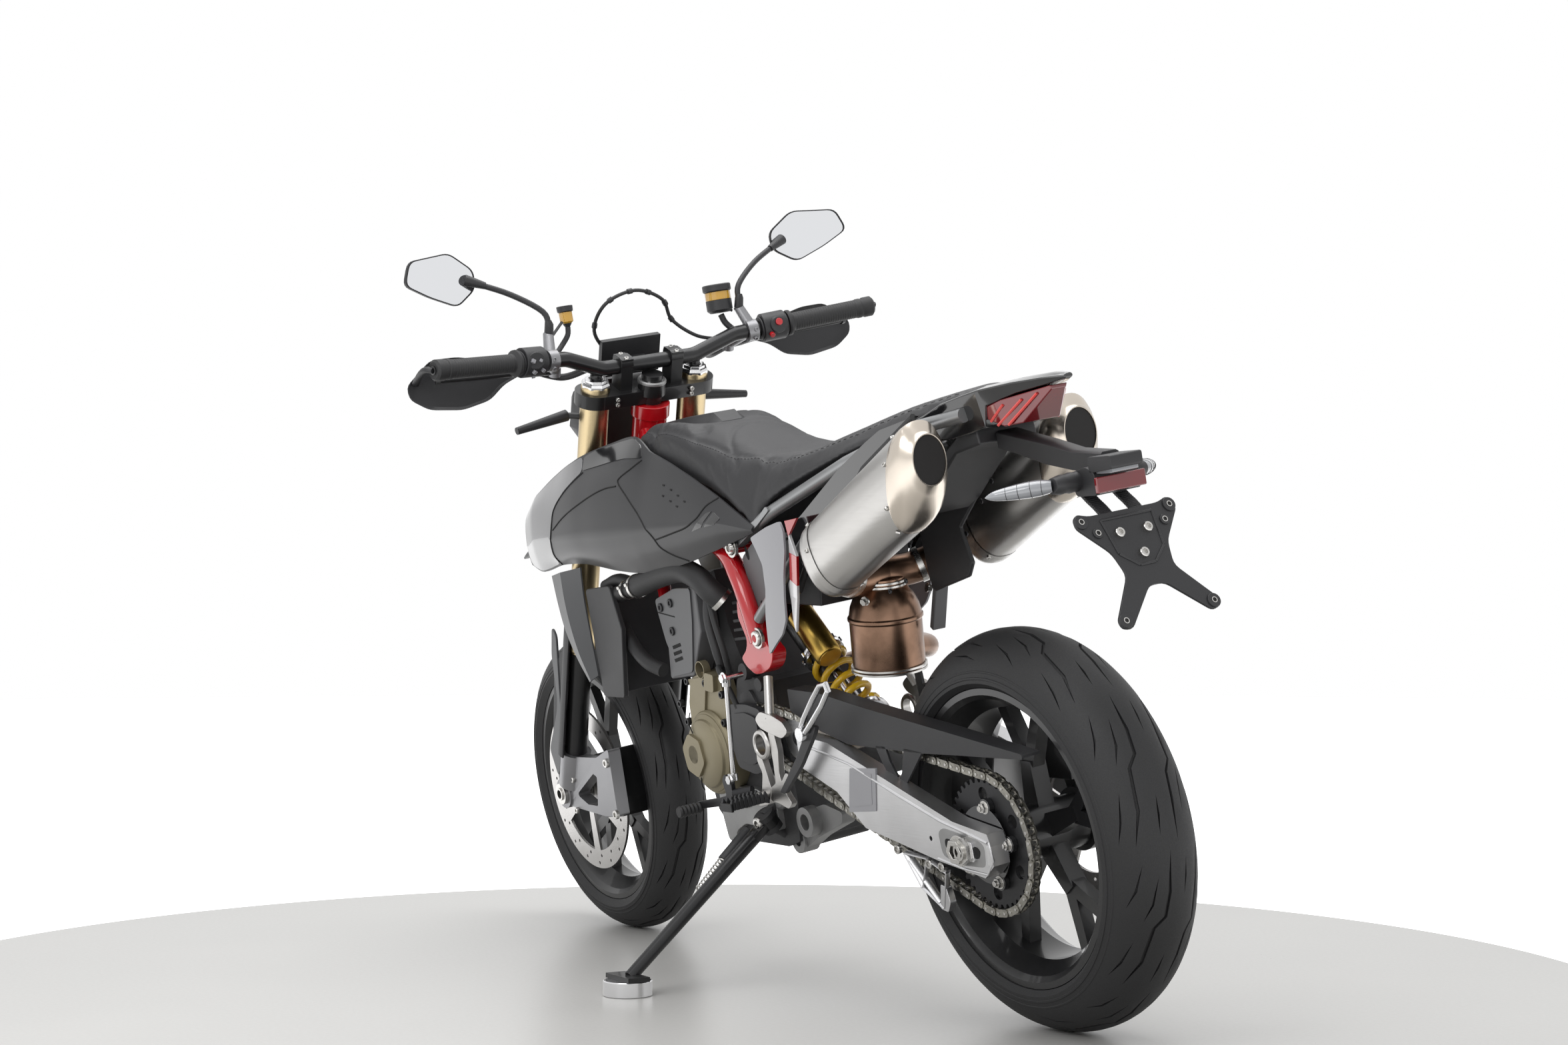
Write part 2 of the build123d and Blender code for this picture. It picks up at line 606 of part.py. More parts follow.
bracket = plate([(-62, 921), (-76, 921), (-232, 883), (-300, 878), (-300, 850), (-258, 844), (-222, 860), (-78, 893),
                 (-60, 900)], -16, 16)
bracket += box(-350, -298, -29, 29, 854, 876)
bracket += box(-309, -258, -38, 38, 820, 856)
strut_side = plate([(-262, 822), (-285, 822), (-334, 776), (-322, 766), (-262, 808)], 16, 36)
bracket += strut_side + mirror(strut_side, about=Plane.XZ)
PLATE_HOLE_R = 3.2
plate_plane = Plane(origin=(-345, 0, 718), x_dir=(0, -1, 0), z_dir=(-0.9, 0, 0.436))
cross = slab(plate_plane, [
    (-88, 84), (-80, 90), (-62, 84), (62, 84), (80, 90), (88, 84), (90, 70), (50, 24), (42, -12), (90, -74), (88, -86),
    (72, -90), (14, -34), (-14, -34), (-72, -90), (-88, -86), (-90, -74), (-42, -12), (-50, 24), (-90, 70)], 5)
plate_holes = [(-79, 77), (79, 77), (-79, -77), (79, -77)]
for hole_y, hole_z in plate_holes:
    cross -= plate_plane * Pos(hole_y, hole_z, 0) * Cylinder(PLATE_HOLE_R, 30)
for bolt_y, bolt_z in ((-25, 50), (25, 50), (0, 20)):
    cross += plate_plane * Pos(bolt_y, bolt_z, 6) * Cylinder(6, 8)
bracket += cross
bracket += rod((-264, -86, 842), (-264, 86, 842), 10)
bracket -= tail_body
bracket -= lamp
add("plate_bracket", bracket)
add("tail_lenses", lamp, reflector - bracket)

indicator = rod((-262, 82, 842), (-199, 149, 840), 15, 9)
add("rear_indicators", *both(indicator - bracket))

side_panel = plate([(493, 800), (392, 822), (336, 826), (320, 804), (343, 719), (358, 672), (401, 648), (500, 602),
                    (470, 728)], 138, 143, 5)
tail_plate = plate([(-48, 962), (87, 936), (200, 880), (312, 812), (330, 760), (322, 700), (300, 742), (225, 790),
                    (105, 872)], 116, 121, 2)

silencer_start = Vector(262, 150, 752)
silencer_end = Vector(-57, 140, 899)
silencer_run = silencer_end - silencer_start
silencer_len = silencer_run.length
silencer_plane = Plane(origin=silencer_start, x_dir=(0, 1, 0), z_dir=silencer_run)
SILENCER_W = 90.0
SILENCER_H = 126.0
CAP_LEN = 112.0
OUTLET_R = 32.0
def can_section(back, width, height, drop=0.0):
    """An oval across the silencer, measured back from its end, its middle a little below the axis."""
    return silencer_plane * Pos(0, drop, silencer_len - back) * Ellipse(width / 2, height / 2)


can = loft([
    can_section(silencer_len, SILENCER_W - 10, SILENCER_H - 12),
    can_section(silencer_len - 12, SILENCER_W, SILENCER_H),
    can_section(CAP_LEN, SILENCER_W, SILENCER_H + 8, 4),
    can_section(CAP_LEN / 2, SILENCER_W - 2, SILENCER_H + 14, 8),
    can_section(CAP_LEN / 4, SILENCER_W - 12, SILENCER_H - 10, 2),
    can_section(0, 2 * OUTLET_R + 8, 2 * OUTLET_R + 8),
], ruled=True)
can -= silencer_plane * Pos(0, 0, silencer_len - 20) * Cylinder(OUTLET_R, 60, align=(Align.CENTER, Align.CENTER, Align.MIN))
add("silencers", *both(can))
CAT_R = 60.0
CAT_LEN = 92.0
CAT_DOME = 50.0
cat_plane = Plane(origin=(362, 0, 548), z_dir=(-12, 0, 92))
cat_profile = Polyline((0, 0), (CAT_R, 0), (CAT_R, CAT_LEN), (0.6 * CAT_R, CAT_LEN + CAT_DOME),
                       (0.6 * CAT_R, CAT_LEN + CAT_DOME + 16), (0, CAT_LEN + CAT_DOME + 16), close=True)
cat = cat_plane.location * (Rot(X=90) * revolve(make_face(cat_profile), axis=Axis.Y))
BRANCH_R = 25.0
branch_points = [(338, 60, 708), (292, 134, 732), tuple(silencer_start)]
branches = pipe([(x, -y, z) for x, y, z in reversed(branch_points)] + branch_points, BRANCH_R, 34)
header = pipe([(926, -40, 610), (990, -60, 596), (992, -128, 520), (900, -158, 500), (700, -168, 530),
               (560, -174, 556), (470, -150, 560), (420, -70, 574), (360, 0, 590)], 20, 24)
exhaust = joined(cat, branches, header) - engine
for can_half in both(can):
    exhaust -= can_half
add("exhaust_pipe", exhaust)

can_room = loft([
    silencer_plane * Pos(0, 0, -30) * Ellipse(SILENCER_W / 2 + 6, SILENCER_H / 2 + 6),
    silencer_plane * Pos(0, 0, silencer_len) * Ellipse(SILENCER_W / 2 + 6, SILENCER_H / 2 + 6),
], ruled=True)
panel_room = can_room + pipe([(338, 0, 708)] + branch_points, BRANCH_R + 5, 34)
side_panel -= panel_room
tail_plate -= panel_room
side_stay = rod((440, 100, 760), (440, 138, 760), 8) - subframe - nodes["airbox"]
tail_stay = rod((215, 99, 905), (203, 118, 866), 6) - subframe
add("side_panels", *both(side_panel + side_stay), *both(tail_plate + tail_stay))

# ---------------------------------------------------------------- foot controls

hanger = plate([(470, 490), (535, 505), (566, 480), (566, 430), (548, 384), (612, 356), (606, 334), (470, 346),
                (478, 400), (462, 440)], 144, 154, 6)
hanger -= cyl_y(*SWING_PIVOT, 100, 200, 17)
hanger += ring_y(*SWING_PIVOT, 144, 160, 26, 17)
hanger += rod((540, 128, 560), (520, 149, 492), 8)
peg = box(548, 584, 156, 232, 352, 366) + rod((566, 150, 360), (566, 170, 360), 9)
passenger_arm = plate([(476, 372), (492, 372), (350, 490), (332, 486)], 160, 168, 3)
loop = plate([(348, 470), (372, 482), (290, 562), (272, 560), (268, 545)], 160, 172, 3)
loop -= plate([(346, 484), (356, 488), (292, 549), (282, 549)], 150, 180)
hanger_side = joined(hanger, peg, passenger_arm, loop, rod((484, 150, 378), (484, 164, 378), 6))
add("footpegs", *both(hanger_side - frame - arms))

shift_arm = plate([(655, 395), (668, 380), (662, 350), (770, 335), (770, 322), (640, 334), (640, 392)], 168, 176, 4)
shift_arm += cyl_y(768, 329, 168, 212, 10)
shift_arm += rod((650, 158, 395), (650, 158, 560), 4)
shift_arm += ball((650, 158, 560), 9) + ball((650, 160, 392), 9) + rod((650, 158, 392), (650, 172, 386), 6)
brake_arm = plate([(592, 352), (596, 338), (770, 322), (770, 336), (606, 354)], -186, -178, 3)
brake_arm += cyl_y(600, 346, -180, -154.3, 6)
brake_arm += cyl_y(772, 329, -214, -178, 9)
add("foot_controls", shift_arm, brake_arm)

# ---------------------------------------------------------------- steering assembly

UPPER_CLAMP_U = 862.0
LOWER_CLAMP_U = 644.0
FORK_TOP_U = 892.0
FORK_SPLIT_U = 330.0
FORK_FOOT_U = 62.0


def fork_cylinder(radius, low, high, side=1):
    return Pos(FORK_OFFSET, side * FORK_Y, low) * Cylinder(radius, high - low, align=(Align.CENTER, Align.CENTER, Align.MIN))


STEM_R = HEAD_BORE_R - RUNNING
stem = Pos(0, 0, LOWER_CLAMP_U) * Cylinder(STEM_R, UPPER_CLAMP_U - LOWER_CLAMP_U + 40,
                                           align=(Align.CENTER, Align.CENTER, Align.MIN))


def clamp(low, high):
    bridge = Pos(FORK_OFFSET * 0.6, 0, (low + high) / 2) * Box(56, 2 * FORK_Y, high - low)
    for side in (-1, 1):
        bridge += fork_cylinder(UPPER_TUBE_R + 11, low, high, side)
        bridge -= fork_cylinder(UPPER_TUBE_R, low - 1, high + 1, side)
    return bridge


clamps = clamp(LOWER_CLAMP_U - 14, LOWER_CLAMP_U + 18) + clamp(UPPER_CLAMP_U - 14, UPPER_CLAMP_U + 12) + stem
clamps += Pos(0, 0, UPPER_CLAMP_U) * Cylinder(26, 24, align=(Align.CENTER, Align.CENTER, Align.MIN))
BAR_F = 18.0
BAR_RISE = 56.0
BAR_CLAMP_Y = 53.0
bar_u = UPPER_CLAMP_U + BAR_RISE
for side in (-1, 1):
    riser = Pos(BAR_F, side * BAR_CLAMP_Y, UPPER_CLAMP_U + BAR_RISE / 2) * Box(34, 24, BAR_RISE + 36)
    clamps += riser
bar_out = Vector(-28, 432, bar_u + 66)
bar_in = Vector(10, 178, bar_u + 34)
bar_half = pipe([(BAR_F, 0, bar_u), (BAR_F, 98, bar_u), bar_in, bar_out], BAR_R, 50)
handlebar = bar_half + mirror(bar_half, about=Plane.XZ)
clamps -= handlebar
add("triple_clamps", steer * clamps)

uppers = []
stanchions = []
feet = []
guards = []
for side in (-1, 1):
    upper = fork_cylinder(UPPER_TUBE_R, FORK_SPLIT_U, FORK_TOP_U, side)
    upper -= fork_cylinder(STANCHION_R + RUNNING, FORK_SPLIT_U - 1, FORK_SPLIT_U + 60, side)
    uppers.append(steer * upper)
    stanchions.append(steer * fork_cylinder(STANCHION_R, FORK_FOOT_U, FORK_SPLIT_U + 58, side))
add("fork_uppers", *uppers)
add("fork_stanchions", *stanchions)

foot_body = fork_cylinder(30, 24, 100) + Pos(AXLE_OFFSET, 0, 0) * cyl_y(0, 0, 88, 122, 30)
foot_body += Pos(AXLE_OFFSET, 0, 0) * plate([(0, -26), (-164, 41), (-213, 68), (-157, 188), (-114, 145), (-8, 88),
                                             (22, 15)], 92, 118, 5)
foot_body -= Pos(AXLE_OFFSET, 0, 0) * plate([(-48, 24), (-95, 28), (-133, 46), (-122, 106), (-106, 104)], 80, 130, 5)
right_foot = fork_cylinder(30, 24, 100, -1) + Pos(AXLE_OFFSET, 0, 0) * cyl_y(0, 0, -122, -88, 30)
for side, body in ((1, foot_body), (-1, right_foot)):
    body -= Pos(AXLE_OFFSET, 0, 0) * cyl_y(0, 0, side * 60, side * 150, AXLE_R + RUNNING)
    body -= fork_cylinder(STANCHION_R, FORK_FOOT_U, 200, side)
    feet.append(steer * body)
add("fork_feet", *feet)

front_axle = cyl_y(*FRONT_AXLE, -132, 132, AXLE_R)
front_axle += cyl_y(*FRONT_AXLE, FRONT_DISC_Y + DISC_T / 2 + CLEAR, 88 - CLEAR, 18)
front_axle += cyl_y(*FRONT_AXLE, -88 + CLEAR, -FRONT_HUB_HALF - CLEAR, 18)
front_axle += cyl_y(*FRONT_AXLE, 122 + CLEAR, 129, 21)
front_axle -= cyl_y(*FRONT_AXLE, -133, 133, AXLE_BORE_R)
add("front_axle", front_axle)

caliper_place = Pos(FRONT_AXLE[0], 0, FRONT_AXLE[1]) * Rot(Y=-172)
caliper = caliper_place * plate([(114, -62), (196, -66), (202, -30), (202, 30), (196, 66), (114, 62)],
                                FRONT_DISC_Y - 24, FRONT_DISC_Y + 30, 8)
caliper -= cyl_y(*FRONT_AXLE, FRONT_DISC_Y - 4, FRONT_DISC_Y + 4, FRONT_DISC_R + 5)
add("front_caliper", caliper - steer * foot_body)

guard_shell = fork_cylinder(36, 96, 430) - fork_cylinder(33, 90, 440)
guard_shell = guard_shell & (Pos(FORK_OFFSET + 26, FORK_Y + 18, 260) * Box(70, 70, 400))
blade = plate([(66, 300), (84, 250), (74, 100), (52, 60), (40, 96), (56, 180), (48, 330)], FORK_Y + 22, FORK_Y + 26)
guard_left = guard_shell + blade
guard_left -= Pos(AXLE_OFFSET, 0, 0) * cyl_y(0, 0, 80, 160, 40)
guard_left -= foot_body
add("fork_guards", *[steer * g for g in both(guard_left)])

mudguard = steer * stations([
    (36, mirrored_points([(44, 590), (50, 600), (40, 640)])),
    (110, mirrored_points([(50, 546), (56, 552), (36, 602)])),
    (160, mirrored_points([(44, 518), (48, 523), (28, 566)])),
    (215, mirrored_points([(32, 482), (35, 487), (18, 526)])),
    (300, mirrored_points([(34, 424), (38, 429), (18, 460)])),
    (380, mirrored_points([(28, 364), (31, 368), (14, 392)])),
    (440, mirrored_points([(14, 318), (17, 322), (7, 336)])),
    (468, mirrored_points([(5, 297), (7, 300), (3, 307)])),
])
mudguard -= steer * (fork_cylinder(UPPER_TUBE_R + 14, 300, 660) + fork_cylinder(UPPER_TUBE_R + 14, 300, 660, -1))
mudguard -= steer * clamps
add("front_mudguard", mudguard)

mask = stations([
    (96, mirrored_points([(84, 700), (88, 730), (92, 760), (86, 830), (58, 858)])),
    (140, mirrored_points([(58, 668), (66, 716), (92, 752), (88, 822), (50, 850)])),
    (186, mirrored_points([(36, 650), (40, 706), (66, 744), (66, 790), (32, 812)])),
    (206, mirrored_points([(24, 664), (28, 708), (44, 738), (44, 762), (22, 780)])),
])
lens = stations([
    (180, mirrored_points([(30, 666), (34, 710), (58, 746), (56, 776), (26, 792)])),
    (214, mirrored_points([(20, 672), (24, 708), (38, 736), (38, 756), (18, 770)])),
])
mask -= lens
dash = box(84, 96, -62, 62, 868, 940) + box(60, 84, -30, 30, 880, 905)
mask_stay = box(44, 96, -30, 30, 850, 862)
add("headlight_mask", steer * (mask + mask_stay - clamps), steer * (dash - clamps))
add("headlight", steer * lens)

add("handlebar", steer * handlebar)
bar_dir = (bar_out - bar_in).normalized()


def on_bar(distance):
    spot = bar_out - bar_dir * distance
    return spot.X, spot.Y, spot.Z


def sleeve(start, end, radius):
    return rod(on_bar(start), on_bar(end), radius) - rod(on_bar(start - 1), on_bar(end + 1), BAR_R)


grip = sleeve(-2, 146, GRIP_R) + sleeve(144, 150, 24) + rod(on_bar(-26), on_bar(-3), 19)
grip -= handlebar
add("grips", *[steer * g for g in both(grip)])
switch = sleeve(154, 206, 23) + rod(on_bar(180), Vector(*on_bar(180)) + Vector(-20, 0, 16), 15)
switch -= handlebar
perch_at = Vector(*on_bar(224))
lever_pivot = Vector(37, 184, bar_u)
perch = sleeve(210, 238, 21) + rod(perch_at, lever_pivot, 10)
lever = pipe([lever_pivot, (44, 250, bar_u + 4), (16, 424, bar_u + 32)], 6, 40)
stem_foot = Vector(39, 200, bar_u + 81)
mirror_seat = rod(perch_at, stem_foot - Vector(0, 0, CLEAR), 9)
left_pot = rod((63, 149, bar_u + 78), (78, 149, bar_u + 108), 13)
pot_arm = pipe([perch_at, (52, 152, bar_u + 42), (64, 149, bar_u + 80)], 5, 10)
right_pot = rod((54, 172, bar_u + 61), (78, 172, bar_u + 109), 26) + rod(perch_at, (60, 176, bar_u + 72), 8)
controls = joined(perch, lever, mirror_seat)
left_controls = joined(controls, pot_arm, left_pot) - handlebar
right_controls = mirror(controls + right_pot - handlebar, about=Plane.XZ)
add("hand_controls", *[steer * s for s in (left_controls, right_controls, *both(switch))])

guard_plane = Plane(origin=(60, 0, bar_u + 12), x_dir=(0, 1, 0), z_dir=(rake_cos, 0, -rake_sin))
guard_points = [(225, -10), (282, -30), (314, -54), (369, -64), (432, -55), (466, -32), (468, -8), (416, 32), (365, 31),
                (290, 14), (225, 4)]
handguard = slab(guard_plane, guard_points, 4)
handguard += pipe([on_bar(-27), Vector(*on_bar(-34)) + Vector(24, 0, -10), (62, 452, bar_u + 12)], 7, 12)
handguard += pipe([(16, 118, bar_u + 8), (62, 160, bar_u - 25), (62, 235, bar_u + 6)], 7, 14)
handguard = handguard - handlebar - rod(on_bar(-27), on_bar(-2), 19.2)
add("handguards", *[steer * g for g in both(handguard)])

mirror_stem = pipe([stem_foot - Vector(3, 0, 6), (52, 206, bar_u + 114), (120, 312, bar_u + 166)], 5, 20)
mirror_plane = Plane(origin=(104, 386, bar_u + 178), x_dir=(0.207, -0.966, -0.146), z_dir=(-0.87, -0.25, 0.43))
mirror_head = slab(mirror_plane, [(-80, -6), (-64, 36), (26, 48), (78, 14), (76, -20), (32, -50), (-28, -30)], -14)
add("mirrors", *[steer * m for m in both(mirror_stem + mirror_head - controls)])

arch_points = [(96, 40, 905), (96, 74, 960), (84, 60, 1016), (82, 0, 1036), (84, -60, 1010), (96, -78, 960),
               (60, -120, 946)]
hose_arch = pipe(arch_points, 3.4, 26)
add("brake_hose", steer * (hose_arch - mask - dash))

flasher = rod((66, 140, 812), (58, 246, 800), 11, 7)
flasher += rod((32, 110, 818), (66, 142, 812), 6) - fork_cylinder(UPPER_TUBE_R + CLEAR, 700, 900)
add("front_indicators", *[steer * f for f in both(flasher - clamps)])

# ---------------------------------------------------------------- side stand

stand_pivot = Vector(652, 110, 300)
KNUCKLE_R = 19.0
KNUCKLE_T = 14.0
LUG_T = 10.0
STAND_PIN_R = 6.0
foot_floor = Vector(*STAND_FOOT, PUCK_H)
to_bike = leaned.inverse()
foot_upright = (to_bike * Pos(*foot_floor)).position
leg_dir = (foot_upright - stand_pivot).normalized()
folded_dir = Vector(-0.95, 0.2, -0.2).normalized()
swing_axis = leg_dir.cross(folded_dir).normalized()
stand_plane = Plane(origin=stand_pivot, x_dir=leg_dir, z_dir=swing_axis)
leg = rod(stand_pivot + leg_dir * (KNUCKLE_R + 12), foot_upright - leg_dir * 6, 13, 11)
leg += stand_plane * (Cylinder(KNUCKLE_R, KNUCKLE_T) + Pos(22, 0, 0) * Box(44, 26, KNUCKLE_T))
leg += to_bike * (Pos(STAND_FOOT[0], STAND_FOOT[1], PUCK_H + 4) * Box(84, 40, 8))
leg += rod(stand_pivot + leg_dir * 60 + Vector(14, 0, 0), stand_pivot + leg_dir * 190 + Vector(10, 0, 0), 7)
leg -= stand_plane * Cylinder(STAND_PIN_R + RUNNING, 60)
leg -= to_bike * (Pos(STAND_FOOT[0], STAND_FOOT[1], PUCK_H / 2) * Cylinder(PUCK_R + 20, PUCK_H))
add("side_stand", leg)
add("stand_puck", to_bike * (Pos(STAND_FOOT[0], STAND_FOOT[1], PUCK_H / 2) * Cylinder(PUCK_R, PUCK_H)))

lug_at = KNUCKLE_T / 2 + LUG_T / 2 + CLEAR
lug = stand_plane * (Pos(0, 0, lug_at) * Cylinder(KNUCKLE_R, LUG_T) + Pos(0, 0, -lug_at) * Cylinder(KNUCKLE_R, LUG_T))
lug += rod((650, 70, 336), stand_pivot + swing_axis * lug_at, 9)
lug += rod((652, 66, 262), stand_pivot - swing_axis * lug_at, 9)
lug -= stand_plane * Cylinder(KNUCKLE_R + 6, KNUCKLE_T + 2 * CLEAR)
lug += stand_plane * Cylinder(STAND_PIN_R, 2 * lug_at + LUG_T)
add("engine_block", engine + lug)

# ---------------------------------------------------------------- on the floor, over the origin

placed = {name: leaned * shape for name, shape in nodes.items()}
whole = Compound(list(placed.values())).bounding_box()
centred = Pos(-(whole.min.X + whole.max.X) / 2, -(whole.min.Y + whole.max.Y) / 2, 0)
to_row = centred * leaned

if __name__ == "__main__":
    os.makedirs("parts", exist_ok=True)
    for name, shape in placed.items():
        export_step(centred * shape, f"parts/{name}.step")
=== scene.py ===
import json
import math

import bmesh
import bpy
import numpy as np
from mathutils import Matrix, Vector
from mathutils.bvhtree import BVHTree
from mathutils.geometry import delaunay_2d_cdt

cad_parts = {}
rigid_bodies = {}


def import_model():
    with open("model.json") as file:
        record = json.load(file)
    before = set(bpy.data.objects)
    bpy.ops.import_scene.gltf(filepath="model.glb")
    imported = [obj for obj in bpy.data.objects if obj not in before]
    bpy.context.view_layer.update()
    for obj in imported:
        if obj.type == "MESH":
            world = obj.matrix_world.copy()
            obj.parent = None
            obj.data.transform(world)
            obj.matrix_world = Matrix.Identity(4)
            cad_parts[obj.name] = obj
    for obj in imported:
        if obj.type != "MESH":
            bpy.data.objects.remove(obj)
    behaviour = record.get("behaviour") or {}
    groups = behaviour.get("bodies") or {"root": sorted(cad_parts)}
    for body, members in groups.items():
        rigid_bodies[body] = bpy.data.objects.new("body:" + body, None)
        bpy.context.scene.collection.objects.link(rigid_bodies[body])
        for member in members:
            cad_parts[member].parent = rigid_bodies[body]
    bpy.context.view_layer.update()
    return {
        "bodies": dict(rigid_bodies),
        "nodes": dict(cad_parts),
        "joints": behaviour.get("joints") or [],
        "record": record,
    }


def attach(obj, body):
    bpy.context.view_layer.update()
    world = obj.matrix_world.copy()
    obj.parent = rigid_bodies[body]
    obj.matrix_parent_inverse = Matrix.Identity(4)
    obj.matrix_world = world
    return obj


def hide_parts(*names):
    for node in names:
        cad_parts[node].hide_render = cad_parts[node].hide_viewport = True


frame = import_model()
nodes = frame["nodes"]
joints = {joint["name"]: joint for joint in frame["joints"]}

# Millimetres in the upright machine's frame, as in the part's source: X forward from the rear axle, Y left,
# Z up. The steering's frame has X forward and Z along its axis, and each wheel's frame starts at its axle.
MM = 0.001
REAR_TYRE_R = 312
side = Vector(joints["rear_wheel_spin"]["axis"])
ahead = Vector((1, 0, 0))
up = ahead.cross(side)
rear_axle = Vector(joints["rear_wheel_spin"]["pos_m"])
front_axle = Vector(joints["front_wheel_spin"]["pos_m"])


def basis(x_dir, y_dir, z_dir, origin, scale=MM):
    """A place made of its three axes and its origin."""
    rows = [[x_dir[i] * scale, y_dir[i] * scale, z_dir[i] * scale, origin[i]] for i in range(3)]
    return Matrix(rows + [[0, 0, 0, 1]])


def aimed(at, way):
    """A place at a point, with its Z axis along a direction."""
    place = Vector(way).to_track_quat("Z", "Y").to_matrix().to_4x4()
    place.translation = Vector(at)
    return place


def turns(count):
    """Angles spread evenly over a full turn."""
    return [math.tau * k / count for k in range(count)]


BIKE = basis(ahead, side, up, rear_axle - up * REAR_TYRE_R * MM)
steer_up = Vector(joints["steering"]["axis"])
steer_ahead = side.cross(steer_up)
STEER = basis(steer_ahead, side, steer_up, Vector(joints["steering"]["pos_m"]))
REAR = basis(ahead, side, up, rear_axle)
FRONT = basis(ahead, side, up, front_axle)
TO_BIKE = BIKE.inverted()

# ---------------------------------------------------------------- materials


def shader(name, colour, rough, metal=0.0, coat=0.0):
    """A new material, its node tree and its surface node."""
    made = bpy.data.materials.new(name)
    made.use_nodes = True
    tree = made.node_tree
    surface = tree.nodes["Principled BSDF"]
    surface.inputs["Base Color"].default_value = (*colour, 1)
    surface.inputs["Roughness"].default_value = rough
    surface.inputs["Metallic"].default_value = metal
    surface.inputs["Coat Weight"].default_value = coat
    surface.inputs["Coat Roughness"].default_value = 0.06
    made.diffuse_color = (*colour, 1)
    return made, tree, surface


def texture(tree, kind, scale, stretch=(1, 1, 1), **settings):
    """A texture laid in the object's own coordinates."""
    place = tree.nodes.new("ShaderNodeTexCoord")
    move = tree.nodes.new("ShaderNodeMapping")
    move.inputs["Scale"].default_value = stretch
    made = tree.nodes.new(kind)
    made.inputs["Scale"].default_value = scale
    for key, value in settings.items():
        made.inputs[key].default_value = value
    tree.links.new(place.outputs["Object"], move.inputs["Vector"])
    tree.links.new(move.outputs["Vector"], made.inputs["Vector"])
    return made


def spread(tree, value, low, high):
    """The middle of a noise's range, stretched from low to high."""
    made = tree.nodes.new("ShaderNodeMapRange")
    made.inputs["From Min"].default_value = 0.3
    made.inputs["From Max"].default_value = 0.7
    made.inputs["To Min"].default_value = low
    made.inputs["To Max"].default_value = high
    tree.links.new(value, made.inputs["Value"])
    return made.outputs["Result"]


def add_bump(tree, surface, height, strength):
    """Fine relief in the surface's normal."""
    bump = tree.nodes.new("ShaderNodeBump")
    bump.inputs["Strength"].default_value = strength
    bump.inputs["Distance"].default_value = 0.0004
    tree.links.new(height, bump.inputs["Height"])
    tree.links.new(bump.outputs["Normal"], surface.inputs["Normal"])


def tint(tree, surface, value, first, second):
    """A base colour that drifts between two."""
    mix = tree.nodes.new("ShaderNodeMix")
    mix.data_type = "RGBA"
    mix.inputs["A"].default_value = (*first, 1)
    mix.inputs["B"].default_value = (*second, 1)
    tree.links.new(value, mix.inputs["Factor"])
    tree.links.new(mix.outputs["Result"], surface.inputs["Base Color"])


def shade(colour, factor):
    """A colour made darker or lighter."""
    return tuple(min(1.0, c * factor) for c in colour)


def finish(name, colour, rough=0.5, metal=0.0, coat=0.0, grain=900, bump=0.15, vary=0.12,
           streak=(1, 1, 1), blotch=6):
    """A surface with fine grain, soft cloudy wear and, on brushed metal, fine lines."""
    made, tree, surface = shader(name, colour, rough, metal, coat)
    cloud = texture(tree, "ShaderNodeTexNoise", blotch, Detail=5)
    tint(tree, surface, spread(tree, cloud.outputs["Fac"], 0, 1), shade(colour, 1 - vary),
         shade(colour, 1 + vary))
    fine = texture(tree, "ShaderNodeTexNoise", grain, streak, Detail=3)
    low, high = max(0.02, rough * 0.85), min(1, rough * 1.18)
    mixed = tree.nodes.new("ShaderNodeMath")
    mixed.operation = "MULTIPLY_ADD"
    mixed.inputs[1].default_value = 0.5
    half = tree.nodes.new("ShaderNodeMath")
    half.operation = "MULTIPLY"
    half.inputs[1].default_value = 0.5
    tree.links.new(cloud.outputs["Fac"], half.inputs[0])
    tree.links.new(fine.outputs["Fac"], mixed.inputs[0])
    tree.links.new(half.outputs[0], mixed.inputs[2])
    tree.links.new(spread(tree, mixed.outputs[0], low, high), surface.inputs["Roughness"])
    add_bump(tree, surface, fine.outputs["Fac"], bump)
    M[name] = made


M = {}
finish("tyre", (0.016, 0.016, 0.017), 0.62, grain=500, bump=0.25, vary=0.2)
finish("wheel", (0.012, 0.012, 0.013), 0.32, coat=0.25, bump=0.06)
finish("disc", (0.5, 0.49, 0.48), 0.3, 1, grain=300, bump=0.2, streak=(1, 8, 1))
finish("dark_metal", (0.03, 0.03, 0.032), 0.4, 0.6)
finish("steel", (0.55, 0.54, 0.52), 0.28, 1, bump=0.1)
finish("chain", (0.3, 0.29, 0.26), 0.35, 1, vary=0.3, blotch=60)
finish("brushed", (0.62, 0.62, 0.63), 0.34, 1, grain=260, bump=0.25, streak=(0.06, 1, 1.6))
finish("cast", (0.3, 0.3, 0.3), 0.5, 0.8, grain=700, bump=0.35, vary=0.2, blotch=12)
finish("engine", (0.05, 0.05, 0.052), 0.55, 0.5, grain=600, bump=0.4, vary=0.3, blotch=10)
finish("bronze", (0.235, 0.205, 0.135), 0.45, 0.55, grain=800, bump=0.2, vary=0.1)
finish("plastic", (0.02, 0.02, 0.022), 0.5, grain=1100, bump=0.3, vary=0.1)
finish("body", (0.024, 0.024, 0.026), 0.36, coat=0.05, grain=1500, bump=0.05, vary=0.06)
finish("gloss", (0.01, 0.01, 0.011), 0.12, coat=0.8, bump=0.01, vary=0.05)
finish("grey", (0.12, 0.12, 0.125), 0.5, grain=1100, bump=0.25)
finish("silver", (0.28, 0.28, 0.3), 0.3, coat=0.4, bump=0.03, vary=0.04)
finish("red", (0.5, 0.006, 0.012), 0.22, coat=0.7, bump=0.03, vary=0.08)
finish("sub", (0.28, 0.285, 0.29), 0.36, 0.7, bump=0.06)
finish("gold", (0.56, 0.45, 0.27), 0.3, 1, bump=0.08, vary=0.06)
finish("shock_gold", (0.5, 0.33, 0.08), 0.3, 1, bump=0.06)
